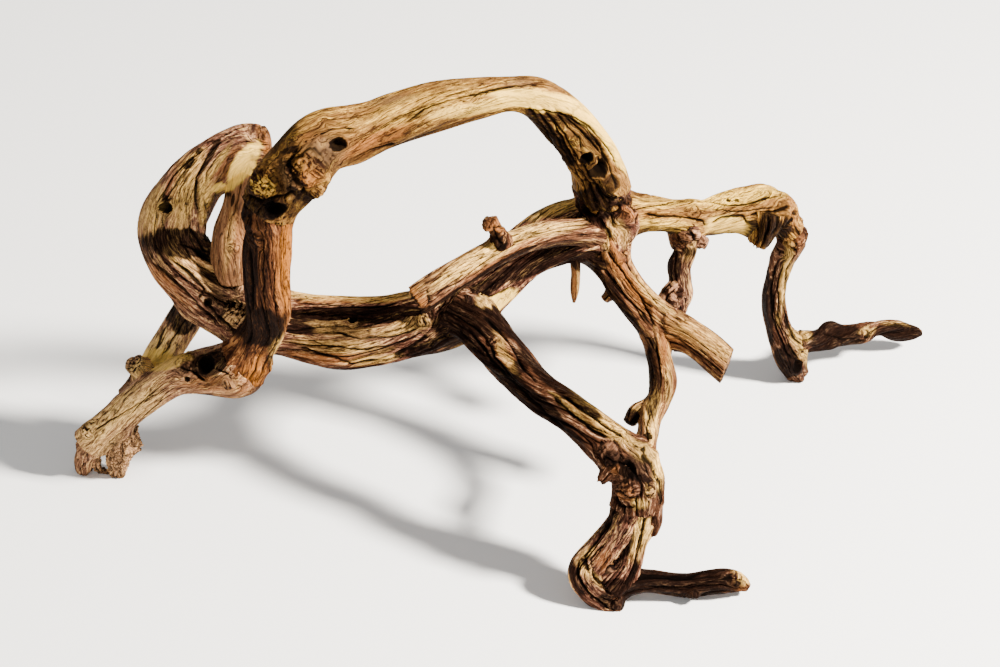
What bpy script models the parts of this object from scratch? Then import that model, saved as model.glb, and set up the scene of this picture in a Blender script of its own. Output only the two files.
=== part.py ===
"""A piece of weathered grapevine wood, about 0.65 m long, standing on three feet.

Every limb is a path of points. A point is where the limb's middle is seen in a view from the
front, 35 degrees above the ground, with how far back it lies and how thick the limb is there.
The limbs are split at the forks, and each gives way to the limb it grows from by a hair.
"""

import math

import bmesh
import bpy
import numpy as np

# The view that the paths are set out in: pixels across and down, metres from the object.
VIEW_ELEVATION = math.radians(35.0)
VIEW_DISTANCE = 2.0
VIEW_MIDDLE = (500.0, 333.5)
VIEW_FOCAL = 1000.0 * 100.0 / 36.0
VIEW_TARGET_HEIGHT = 0.140

MM = 0.001
CLEARANCE = 0.0003
RING_STEP = 0.0138
PATH_SAMPLES = 12
SHARP_EDGE = math.radians(48.0)
# How far a side of a limb has to face the view for a lump to be set on it.
SEEN_FACING = 0.1
# How far the whole piece is moved to bring the middle of its outline onto the origin.
CENTRE_SHIFT = (-0.0082, -0.0181)

# Colours and roughness of the wood.
TAN = (0.46, 0.32, 0.17)
BROWN = (0.36, 0.23, 0.12)
RED_BROWN = (0.42, 0.24, 0.12)
PALE = (0.58, 0.43, 0.25)
DARK = (0.25, 0.15, 0.08)
ROUGHNESS = 0.75

# Paths: pixels across, pixels down, millimetres back, half thickness in millimetres.
ARCH = (
    (268, 204, -46, 17), (282, 184, -48, 20), (302, 163, -48, 20.5), (323, 143, -43, 20),
    (350, 137, -35, 19.5), (375, 129, -28, 17.5), (400, 119, -22, 17), (440, 106, -10, 16.5),
    (480, 97, 0, 14), (510, 93, 8, 12), (536, 97, 14, 14.5), (559, 115, 22, 17),
    (579, 141, 30, 18), (595, 167, 36, 18), (605, 195, 40, 17),
)
CROTCH = ((600, 184, 38, 15), (606, 205, 40, 18), (611, 225, 40, 17), (611, 246, 36, 13))
POST = (
    (266, 204, -46, 15), (265, 230, -45, 17), (264, 250, -42, 17), (266, 275, -37, 15),
    (268, 300, -30, 15.5), (267, 322, -20, 15.5), (256, 345, -12, 15.5), (241, 369, -10, 18),
)
FOOT_LIMB = (
    (247, 364, -10, 17), (231, 371, -10, 20), (205, 373, -8, 17), (180, 377, -7, 14),
    (160, 387, -6, 13), (140, 401, -3, 12), (118, 418, 4, 12), (89, 439, 12, 12),
)
FOOT_TIP = ((98, 438, 12, 9.5), (87, 454, 16, 8), (84, 466, 19, 7), (84, 477, 21, 4.5))
FOOT_CRUST = ((126, 428, 5, 7), (123, 444, 9, 9.5), (119, 459, 13, 8), (117, 478, 18, 5))
FOOT_CRUST_HORN = ((121, 445, 9, 6.5), (133, 445, 8, 6), (140, 446, 8, 3.5))
FOOT_CRUST_LOOP = ((96, 452, 14, 3), (97, 467, 17, 2.2), (106, 473, 18, 2.4), (115, 473, 18, 3))
TWISTED_TRUNK = (
    (265, 146, 30, 12), (246, 146, 31, 16.5), (219, 162, 32, 18.5), (197, 183, 30, 21),
    (179, 207, 26, 24), (172, 231, 22, 25.5), (180, 258, 18, 24), (200, 284, 13, 22.5),
    (222, 303, 10, 21.5), (245, 317, 8, 19), (262, 326, 8, 16),
)
INNER_STEM = (
    (246, 158, 22, 11), (237, 182, 15, 9), (231, 206, 10, 7.5), (229, 232, 8, 10),
    (231, 256, 6, 11), (228, 276, 8, 10),
)
REAR_LEG = (
    (197, 298, 18, 12), (179, 330, 25, 12.5), (164, 354, 25, 12), (148, 377, 20, 11),
    (131, 398, 12, 9),
)
REAR_STUB = ((152, 380, 18, 8), (143, 372, 12, 8), (134, 364, 7, 7.5))
TRUNK_LOWER = (
    (268, 328, 8, 14.5), (300, 338, 4, 14.5), (340, 345, 0, 16), (375, 345, -2, 15),
    (410, 339, 0, 15), (440, 327, 2, 17.5), (464, 311, 6, 18), (497, 285, 12, 14),
    (530, 261, 22, 11), (560, 249, 30, 11), (592, 238, 38, 12),
)
TRUNK_UPPER = (
    (274, 298, 20, 9.5), (300, 303, 18, 8), (340, 306, 14, 7), (380, 307, 12, 7.5),
    (410, 303, 11, 8), (440, 300, 12, 9), (470, 288, 18, 10), (495, 262, 26, 9.5),
    (521, 238, 33, 9), (547, 219, 38, 8), (575, 209, 42, 7.5), (598, 212, 42, 8),
)
TRUNK_CORE = (
    (266, 318, 20, 11), (300, 321, 18, 10), (360, 325, 14, 10), (420, 318, 14, 11),
    (465, 300, 18, 12), (510, 268, 28, 10), (550, 240, 36, 10), (595, 225, 42, 10),
)
FRONT_BRANCH = (
    (601, 234, 35, 8), (580, 232, 22, 9.5), (550, 234, 8, 9.7), (520, 242, -6, 9.4),
    (490, 256, -20, 9.6), (460, 273, -32, 9.9), (432, 290, -42, 10.4), (417, 300, -46, 10.4),
)
FRONT_BRANCH_PEG = ((502, 245, -14, 7.5), (497, 232, -18, 5.5), (490, 220, -22, 5))
DOWN_LIMB = (
    (606, 232, 38, 12), (612, 258, 33, 12.3), (622, 280, 24, 13), (637, 300, 14, 13.7),
    (655, 320, 2, 14.5), (668, 331, -5, 13),
)
DOWN_LIMB_WEB = ((612, 264, 32, 9), (595, 256, 33, 9), (578, 248, 32, 6))
DOWN_LIMB_KNOB = ((614, 290, 20, 4), (605, 299, 16, 3.6))
SPIKE = (
    (584, 249, 31, 4), (576, 258, 27, 4), (576, 274, 24, 3.2), (575, 290, 23, 3.2),
    (574, 302, 23, 1.2),
)
CUT_BRANCH = (
    (667, 325, -3, 9), (684, 332, -12, 12.3), (705, 345, -20, 12.6), (727, 363, -30, 12.5),
)
THIN_LEG = (
    (656, 322, 1, 10), (657, 344, -14, 9), (661, 364, -28, 8.8), (663, 384, -42, 9.6),
    (658, 402, -58, 8), (650, 418, -74, 7.6), (648, 434, -90, 7), (647, 450, -104, 6),
)
THIN_LEG_STUB = ((653, 406, -62, 6), (637, 411, -66, 5.6), (630, 422, -72, 5))
RIGHT_LIMB = (
    (602, 210, 38, 13), (638, 213, 47, 14), (670, 215, 60, 12.4), (700, 218, 72, 13),
    (725, 213, 84, 14.8), (750, 210, 94, 16.3), (769, 206, 103, 16.5), (782, 212, 110, 13.5),
    (789, 229, 115, 11),
)
BARK_SLAB = ((756, 214, 88, 8), (755, 230, 84, 7.5), (752, 244, 82, 5))
RIGHT_LEG = (
    (795, 230, 117, 8), (792, 243, 118, 10), (783, 258, 121, 10), (777, 280, 124, 9.3),
    (774, 300, 127, 9.5), (777, 320, 130, 9.8), (784, 341, 133, 11), (791, 358, 136, 11.3),
    (798, 376, 140, 9),
)
TWIG = (
    (798, 340, 136, 8.5), (815, 340, 145, 8), (829, 336, 152, 9.2), (845, 335, 158, 7),
    (862, 332, 164, 8.2), (879, 328, 168, 6.5), (897, 331, 172, 7), (913, 332, 175, 4.6),
    (921, 333, 177, 2),
)
HANGING_BRANCH = (
    (688, 220, 67, 11), (684, 238, 61, 10.5), (686, 251, 57, 8), (680, 266, 54, 8.4),
    (681, 282, 50, 7.7), (681, 298, 47, 7.6), (681, 312, 45, 3.6),
)
HANGING_LUMP = ((682, 292, 47, 5), (672, 294, 44, 7), (670, 303, 43, 5.5))
HANGING_STUB = ((689, 233, 62, 5.5), (699, 240, 58, 4.6), (706, 243, 56, 3.8))
FRONT_LEG = (
    (455, 306, 0, 13), (479, 326, -14, 15.5), (495, 349, -28, 16), (511, 368, -42, 15.8),
    (530, 385, -55, 14.8), (551, 400, -66, 13.9), (581, 420, -85, 14), (607, 443, -98, 15.5),
    (631, 467, -108, 18.2), (639, 490, -114, 17.5), (637, 510, -119, 14.5),
)
KNEE_STUB = ((622, 468, -112, 6), (611, 470, -117, 5.5), (601, 480, -121, 3.2))
KNEE_HORN = ((650, 506, -118, 8), (654, 522, -122, 5.5), (652, 534, -124, 3.5))
FOOT_CURL = (
    (637, 499, -114, 11), (621, 527, -119, 10.5), (602, 549, -122, 10.5), (584, 569, -127, 11),
    (590, 589, -132, 10), (608, 600, -134, 9), (621, 604, -136, 6.2),
)
FOOT_RIB = (
    (643, 502, -117, 9.5), (640, 525, -122, 7.5), (634, 547, -126, 8), (627, 565, -129, 8.8),
    (608, 584, -132, 8.8),
)
FOOT_WEB = ((632, 520, -116, 9), (614, 547, -118, 9), (604, 566, -123, 10), (606, 584, -128, 9))
FOOT_BRANCH = (
    (610, 588, -131, 8.5), (630, 582, -130, 9), (650, 581, -129, 8), (670, 583, -128, 7.8),
    (690, 584, -127, 8.6), (710, 581, -126, 8.5), (726, 580, -125, 8.5), (740, 583, -124, 6.3),
    (747, 587, -124, 3.2),
)

# Swellings and hollows: pixels across and down, radius and height in millimetres.
ARCH_LUMPS = (
    (306, 168, 11, 5), (318, 188, 8, 5), (262, 183, 13, 4), (286, 180, 6, -4),
    (338, 144, 8, -4), (274, 211, 9, -6), (580, 128, 9, 2.5), (598, 168, 8, -7),
    (572, 160, 9, 3),
)
CROTCH_LUMPS = ((628, 214, 9, 5), (600, 205, 8, -4), (612, 190, 8, 3), (590, 222, 7, 3))
TRUNK_LUMPS = (
    (262, 134, 10, 4), (160, 212, 12, 4), (166, 208, 6, -5), (235, 287, 10, 5),
    (236, 312, 10, 3), (205, 298, 9, -4), (222, 150, 8, -3), (232, 168, 10, -3),
)
LOWER_LUMPS = ((290, 340, 8, 3), (345, 352, 14, 2.5), (395, 352, 9, -3), (470, 300, 9, 3))
KNEE_LUMPS = (
    (612, 456, 9, 4), (628, 490, 9, 5), (653, 492, 8, 4), (625, 470, 6, -4),
    (505, 345, 9, 3.5), (520, 352, 8, -3.5), (560, 408, 10, -3.5), (655, 470, 9, 2.5),
)
RIGHT_LUMPS = ((786, 210, 9, 4), (730, 196, 10, 2.5), (765, 222, 8, -4), (700, 196, 9, -1.5))
LEG_LUMPS = ((796, 240, 7, 3), (782, 250, 6, -2.5), (790, 355, 7, -3.5))
BRANCH_LUMPS = ((692, 236, 7, 3), (673, 266, 6, 2))
CURL_LUMPS = ((617, 603, 6, 2), (576, 575, 8, 2))
FOOT_LIMB_LUMPS = ((186, 362, 10, 3), (208, 365, 9, -4), (226, 390, 8, 3), (90, 432, 7, 2))


# The hidden copies of each limb and of what is fused to it, which its neighbours are cut by.
margins = {}


def seen_at(across, down, back):
    """The point in space that is seen at a pixel, at a distance back in millimetres."""
    right = (across - VIEW_MIDDLE[0]) / VIEW_FOCAL
    up = (VIEW_MIDDLE[1] - down) / VIEW_FOCAL
    sine = math.sin(VIEW_ELEVATION)
    cosine = math.cos(VIEW_ELEVATION)
    reach = (back * MM + VIEW_DISTANCE * cosine) / (cosine + up * sine)
    height = VIEW_TARGET_HEIGHT + VIEW_DISTANCE * sine + reach * (up * cosine - sine)
    return np.array((reach * right, back * MM, height))


def to_pixels(points):
    """Where points are seen, in pixels across and down."""
    sine = math.sin(VIEW_ELEVATION)
    cosine = math.cos(VIEW_ELEVATION)
    high = points[..., 2] - VIEW_TARGET_HEIGHT
    reach = VIEW_DISTANCE + points[..., 1] * cosine - high * sine
    across = VIEW_MIDDLE[0] + VIEW_FOCAL * points[..., 0] / reach
    down = VIEW_MIDDLE[1] - VIEW_FOCAL * (points[..., 1] * sine + high * cosine) / reach
    return np.stack((across, down), axis=-1)


def smooth_path(path, step):
    """Evenly spaced points and half thicknesses along a smooth curve through a path."""
    knots = np.array([(*seen_at(a, d, b), r * MM) for a, d, b, r in path])
    knots = np.vstack((2 * knots[0] - knots[1], knots, 2 * knots[-1] - knots[-2]))
    t = np.linspace(0.0, 1.0, PATH_SAMPLES, endpoint=False)[:, None]
    pieces = []
    for a, b, c, d in zip(knots, knots[1:], knots[2:], knots[3:]):
        bend = 2 * a - 5 * b + 4 * c - d
        pieces.append(0.5 * (2 * b + (c - a) * t + bend * t**2 + (3 * b - a - 3 * c + d) * t**3))
    fine = np.vstack((*pieces, knots[-2][None]))
    run = np.concatenate(([0.0], np.cumsum(np.linalg.norm(np.diff(fine[:, :3], axis=0), axis=1))))
    count = max(3, round(run[-1] / step) + 1)
    even = np.linspace(0.0, run[-1], count)
    return np.stack([np.interp(even, run, fine[:, i]) for i in range(4)], axis=1), even


def frames(centres):
    """Directions along, across and out at each point, carried along without twisting."""
    along = np.gradient(centres, axis=0)
    along /= np.linalg.norm(along, axis=1)[:, None]
    out = np.array((0.0, -math.cos(VIEW_ELEVATION), math.sin(VIEW_ELEVATION)))
    outs = []
    for direction in along:
        out = out - direction * (out @ direction)
        out /= np.linalg.norm(out)
        outs.append(out)
    outs = np.array(outs)
    return along, np.cross(along, outs), outs


def swell(rings, outward, lumps):
    """Raises or sinks the rings round each lump, on the side that the view sees."""
    to_eye = np.array((0.0, -math.cos(VIEW_ELEVATION), math.sin(VIEW_ELEVATION)))
    pixels = to_pixels(rings)
    hidden = np.where(outward @ to_eye > SEEN_FACING, 0.0, 1e6)
    shift = np.zeros(rings.shape[:2])
    for across, down, radius, height in lumps:
        away = np.hypot(pixels[..., 0] - across, pixels[..., 1] - down) + hidden
        nearest = rings[np.unravel_index(np.argmin(away), away.shape)]
        distance = np.linalg.norm(rings - nearest, axis=-1) / (radius * MM)
        shift += height * MM * np.exp(-(distance**2))
    return rings + outward * shift[..., None]


def new_object(name, bm):
    bmesh.ops.recalc_face_normals(bm, faces=bm.faces)
    mesh = bpy.data.meshes.new(name)
    bm.to_mesh(mesh)
    bm.free()
    mesh.shade_smooth()
    mesh.set_sharp_from_angle(angle=SHARP_EDGE)
    made = bpy.data.objects.new(name, mesh)
    bpy.context.collection.objects.link(made)
    return made


def tube(name, rings, ends, blunt):
    """A closed mesh over rings of points, with a low point or a flat at each end."""
    sides = len(rings[0])
    bm = bmesh.new()
    loops = [[bm.verts.new(p) for p in ring] for ring in rings]
    for near, far in zip(loops, loops[1:]):
        for i in range(sides):
            j = (i + 1) % sides
            bm.faces.new((near[i], near[j], far[j]))
            bm.faces.new((near[i], far[j], far[i]))
    for loop, ring, (direction, radius) in ((loops[0], rings[0], ends[0]),
                                            (loops[-1], rings[-1], ends[1])):
        tip = bm.verts.new(ring.mean(axis=0) + direction * radius * blunt)
        for i in range(sides):
            bm.faces.new((loop[i], loop[(i + 1) % sides], tip))
    return new_object(name, bm)


def limb(name, path, sides, lumps=(), ribs=(3, 0.09, 0.4), twist=0.012, blunt=0.0):
    """A closed tube along a path, ribbed lengthwise like a strand of vine.

    A hidden copy that is thicker by the clearance is made with it, to cut the neighbours by.
    """
    rows, run = smooth_path(path, RING_STEP)
    centres, radii = rows[:, :3], rows[:, 3]
    along, across, outs = frames(centres)
    angles = np.arange(sides) * 2 * math.pi / sides
    turned = angles[None, :] + run[:, None] / MM * twist
    count, depth, phase = ribs
    rib = 1 + depth * np.cos(count * turned + phase) + 0.5 * depth * np.cos(5 * turned + 2 * phase)
    outward = (
        np.cos(angles)[None, :, None] * outs[:, None] + np.sin(angles)[None, :, None] * across[:, None]
    )
    rings = centres[:, None] + outward * (radii[:, None] * rib)[..., None]
    rings = swell(rings, outward, lumps)
    rings[:, :, :2] += np.array(CENTRE_SHIFT)
    ends = ((-along[0], radii[0]), (along[-1], radii[-1]))
    swollen = rings + outward * CLEARANCE
    swollen[0] -= along[0] * CLEARANCE
    swollen[-1] += along[-1] * CLEARANCE
    piece = tube(name, rings, ends, blunt)
    margins[name] = [tube(name + "_clearance", swollen, ends, blunt)]
    for margin in margins[name]:
        hide(margin)
    return piece


def hide(guide):
    guide.hide_render = True
    guide.display_type = "WIRE"


def boolean(target, tool, operation):
    """Adds or cuts away a tool, which stays in the file as a hidden guide."""
    hide(tool)
    change = target.modifiers.new(operation.title(), "BOOLEAN")
    change.operation = operation
    change.solver = "EXACT"
    change.object = tool


def grow(target, pieces):
    """Fuses side pieces, such as stubs and second strands, onto a limb."""
    for piece in pieces:
        boolean(target, piece, "UNION")
        margins[target.name] += margins[piece.name]


def give_way(target, neighbours):
    """Cuts a limb back from its neighbours, to leave the clearance between them."""
    for neighbour in neighbours:
        for margin in margins[neighbour.name]:
            boolean(target, margin, "DIFFERENCE")


def ground():
    """A block under the ground plane, which the feet are cut flat by."""
    size, depth = 1.2, 0.08
    bm = bmesh.new()
    bmesh.ops.create_cube(bm, size=1.0)
    bmesh.ops.scale(bm, verts=bm.verts, vec=(size, size, depth))
    bmesh.ops.translate(bm, verts=bm.verts, vec=(0.0, 0.0, -depth / 2))
    return new_object("ground_cutter", bm)


def wood(name, colour):
    material = bpy.data.materials.new(name)
    material.use_nodes = True
    shader = material.node_tree.nodes["Principled BSDF"]
    shader.inputs["Base Color"].default_value = (*colour, 1.0)
    shader.inputs["Roughness"].default_value = ROUGHNESS
    shader.inputs["Metallic"].default_value = 0.0
    return material


def make_centre():
    """The crotch, with the trunk, the arch and the limbs that leave it."""
    crotch = limb("crotch", CROTCH, 14, CROTCH_LUMPS, ribs=(3, 0.10, 1.0), blunt=0.3)
    trunk = limb("trunk", TRUNK_LOWER, 14, LOWER_LUMPS, ribs=(3, 0.10, 0.9))
    upper = limb("trunk_upper", TRUNK_UPPER, 8, ribs=(2, 0.10, 0.0), twist=0.02)
    core = limb("trunk_core", TRUNK_CORE, 8, ribs=(2, 0.08, 1.0))
    grow(trunk, (upper, core))
    give_way(trunk, (crotch,))
    arch = limb("arch", ARCH, 14, ARCH_LUMPS, ribs=(3, 0.08, 2.0), twist=0.008, blunt=0.35)
    give_way(arch, (crotch, trunk))
    right = limb("right_limb", RIGHT_LIMB, 14, RIGHT_LUMPS, ribs=(4, 0.08, 0.3), blunt=0.3)
    grow(right, (limb("bark_slab", BARK_SLAB, 8, ribs=(2, 0.2, 0.0)),))
    give_way(right, (crotch, trunk, arch))
    branch = limb("front_branch", FRONT_BRANCH, 12, ribs=(3, 0.07, 0.0), twist=0.006)
    grow(branch, (limb("front_branch_peg", FRONT_BRANCH_PEG, 8, blunt=0.4),))
    give_way(branch, (crotch, trunk))
    down = limb("down_limb", DOWN_LIMB, 12, ribs=(4, 0.09, 0.6), twist=0.006, blunt=0.5)
    web = limb("down_limb_web", DOWN_LIMB_WEB, 8)
    knob = limb("down_limb_knob", DOWN_LIMB_KNOB, 6, blunt=0.5)
    grow(down, (web, knob, limb("spike", SPIKE, 6)))
    give_way(down, (crotch, trunk, right, branch))
    return crotch, trunk, arch, right, branch, down


def make_front(trunk, down, below):
    """The front leg and its curled foot, and the thin leg that comes down to its knee."""
    leg = limb("front_leg", FRONT_LEG, 14, KNEE_LUMPS, ribs=(3, 0.10, 2.4), twist=0.016)
    knee_stub = limb("knee_stub", KNEE_STUB, 7, blunt=0.4)
    knee_horn = limb("knee_horn", KNEE_HORN, 7, blunt=0.4)
    grow(leg, (knee_stub, knee_horn))
    give_way(leg, (trunk,))
    foot = limb("front_foot", FOOT_CURL, 10, CURL_LUMPS, ribs=(3, 0.10, 0.0), blunt=0.4)
    rib = limb("front_foot_rib", FOOT_RIB, 9, ribs=(2, 0.10, 0.5))
    foot_web = limb("front_foot_web", FOOT_WEB, 8)
    grow(foot, (rib, foot_web))
    give_way(foot, (leg,))
    toe = limb("foot_branch", FOOT_BRANCH, 10, ribs=(3, 0.07, 0.2), blunt=0.4)
    give_way(toe, (foot,))
    cut = limb("cut_branch", CUT_BRANCH, 12, ribs=(3, 0.08, 1.2), twist=0.004)
    give_way(cut, (down,))
    thin = limb("thin_leg", THIN_LEG, 10, ribs=(3, 0.08, 0.0), twist=0.02)
    grow(thin, (limb("thin_leg_stub", THIN_LEG_STUB, 7, blunt=0.5),))
    give_way(thin, (down, cut, leg))
    for piece in (foot, toe):
        boolean(piece, below, "DIFFERENCE")
    return leg, foot, toe, cut, thin


def make_right(right, below):
    """The right leg with its twig, and the small branch that hangs under the limb."""
    leg = limb("right_leg", RIGHT_LEG, 12, LEG_LUMPS, ribs=(4, 0.08, 0.0), blunt=0.4)
    give_way(leg, (right,))
    twig = limb("twig", TWIG, 8, ribs=(2, 0.22, 0.0), twist=0.045, blunt=0.4)
    give_way(twig, (leg,))
    hanging = limb("hanging_branch", HANGING_BRANCH, 10, BRANCH_LUMPS, twist=0.02, blunt=0.4)
    lump = limb("hanging_lump", HANGING_LUMP, 7, blunt=0.6)
    stub = limb("hanging_stub", HANGING_STUB, 7, blunt=0.4)
    grow(hanging, (lump, stub))
    give_way(hanging, (right,))
    boolean(leg, below, "DIFFERENCE")
    return leg, twig, hanging


def make_left(trunk, arch, below):
    """The post under the arch, the foot limb, and the twisted trunk with its stem and leg."""
    post = limb("post", POST, 12, ribs=(4, 0.07, 0.0), twist=0.006, blunt=0.2)
    give_way(post, (arch, trunk))
    foot = limb("foot_limb", FOOT_LIMB, 12, FOOT_LIMB_LUMPS, ribs=(3, 0.09, 0.5), twist=0.01)
    tip = limb("foot_tip", FOOT_TIP, 8, blunt=0.4)
    crust = limb("foot_crust", FOOT_CRUST, 8, blunt=0.3)
    horn = limb("foot_crust_horn", FOOT_CRUST_HORN, 6, blunt=0.3)
    loop = limb("foot_crust_loop", FOOT_CRUST_LOOP, 6)
    grow(foot, (tip, crust, horn, loop))
    give_way(foot, (trunk, post))
    twisted = limb(
        "twisted_trunk", TWISTED_TRUNK, 16, TRUNK_LUMPS, ribs=(4, 0.10, 0.8), blunt=0.4
    )
    give_way(twisted, (trunk, post, foot))
    stem = limb("inner_stem", INNER_STEM, 9, ribs=(2, 0.10, 0.0))
    give_way(stem, (twisted, post))
    rear = limb("rear_leg", REAR_LEG, 10, ribs=(3, 0.08, 0.9), twist=0.008)
    grow(rear, (limb("rear_stub", REAR_STUB, 8),))
    give_way(rear, (twisted, foot))
    boolean(foot, below, "DIFFERENCE")
    return post, foot, twisted, stem, rear


def main():
    for old in list(bpy.data.objects):
        bpy.data.objects.remove(old)
    below = ground()
    crotch, trunk, arch, right, branch, down = make_centre()
    leg, foot, toe, cut, thin = make_front(trunk, down, below)
    right_leg, twig, hanging = make_right(right, below)
    post, left_foot, twisted, stem, rear = make_left(trunk, arch, below)
    finishes = (
        (wood("arch_wood", TAN), (arch, left_foot, right)),
        (wood("trunk_wood", BROWN), (twisted, rear, trunk, foot, crotch, hanging)),
        (wood("stem_wood", RED_BROWN), (post, stem)),
        (wood("pale_wood", PALE), (branch, down, cut, thin)),
        (wood("dark_wood", DARK), (leg, toe, right_leg, twig)),
    )
    for material, pieces in finishes:
        for piece in pieces:
            piece.data.materials.append(material)


main()
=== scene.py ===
"""The looks of a weathered piece of grapevine wood, on a pale floor in soft studio light.

Every solid of the frame is replaced by a finely modelled limb that follows the same path. The
furrows, knots, cracks and hollows are real shape. The grain runs along each limb and round its
knots, and the materials read it from the mesh. The materials also paint shadow, shade in the
hollows and a highlight on the palest streaks into the wood's colour.
"""

import math

import bpy
import numpy as np
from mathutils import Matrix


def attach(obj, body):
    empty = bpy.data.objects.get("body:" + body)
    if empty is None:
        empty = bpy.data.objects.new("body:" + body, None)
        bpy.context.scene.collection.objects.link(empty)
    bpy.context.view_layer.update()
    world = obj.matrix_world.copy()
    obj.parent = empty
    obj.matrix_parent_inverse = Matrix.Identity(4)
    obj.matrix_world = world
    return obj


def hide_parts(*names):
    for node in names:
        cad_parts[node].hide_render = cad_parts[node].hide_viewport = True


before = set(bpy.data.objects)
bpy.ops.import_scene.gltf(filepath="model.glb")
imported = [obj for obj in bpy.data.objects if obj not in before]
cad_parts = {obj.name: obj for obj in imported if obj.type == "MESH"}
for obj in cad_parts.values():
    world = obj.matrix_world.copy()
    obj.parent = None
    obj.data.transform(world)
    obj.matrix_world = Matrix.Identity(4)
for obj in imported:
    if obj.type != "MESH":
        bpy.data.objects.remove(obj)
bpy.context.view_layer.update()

# The view that the paths are set out in: its lens in millimetres, its middle and focal length
# in pixels, its distance from the piece and the height it looks at in metres.
LENS = 100.0
SENSOR = 36.0
VIEW_WIDTH = 1000.0
VIEW_FOCAL = VIEW_WIDTH * LENS / SENSOR
VIEW_MIDDLE = (500.0, 333.5)
VIEW_ELEVATION = math.radians(35.0)
VIEW_DISTANCE = 2.0
VIEW_TARGET_HEIGHT = 0.140
TO_EYE = np.array((0.0, -math.cos(VIEW_ELEVATION), math.sin(VIEW_ELEVATION)))
# From the view's own middle to the frame's, in metres.
CENTRE_SHIFT = np.array((-0.0082, -0.0181, 0.0))

# The floor's half side in metres, its colour and the sky's, and each lamp's place in metres,
# power in watts, size in metres and colour.
FLOOR_HALF = 6.0
FLOOR_COLOUR = (0.93, 0.925, 0.915)
SKY_COLOUR = (1.0, 0.99, 0.97)
SKY_STRENGTH = 0.54
LAMPS = {
    "key": ((1.9, -0.7, 1.8), 490.0, 0.30, (1.0, 0.95, 0.87)),
    "fill": ((-1.2, -1.8, 1.2), 8.0, 1.6, (0.95, 0.97, 1.0)),
}

# Steps of the modelling along and round a limb and along a skeleton, in millimetres.
MM = 0.001
ROW_STEP = 1.3
AROUND_STEP = 0.58
SKELETON_STEP = 5

# How far a fillet reaches, and how thick a limb is where its fillets are full, in millimetres.
FILLET = 11.0
THICK = 12

# Short straight parts between two points of a path, what a pixel of the view measures on the
# piece, and a length past every other.
CURVE_PARTS = 12
MM_PER_PIXEL = 0.72
FAR = 1e6

# The height of the finest fibres in millimetres, and how little the dry wood shines.
FIBRE_HEIGHT = 1.2
WOOD_SHINE = 0.02

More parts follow.
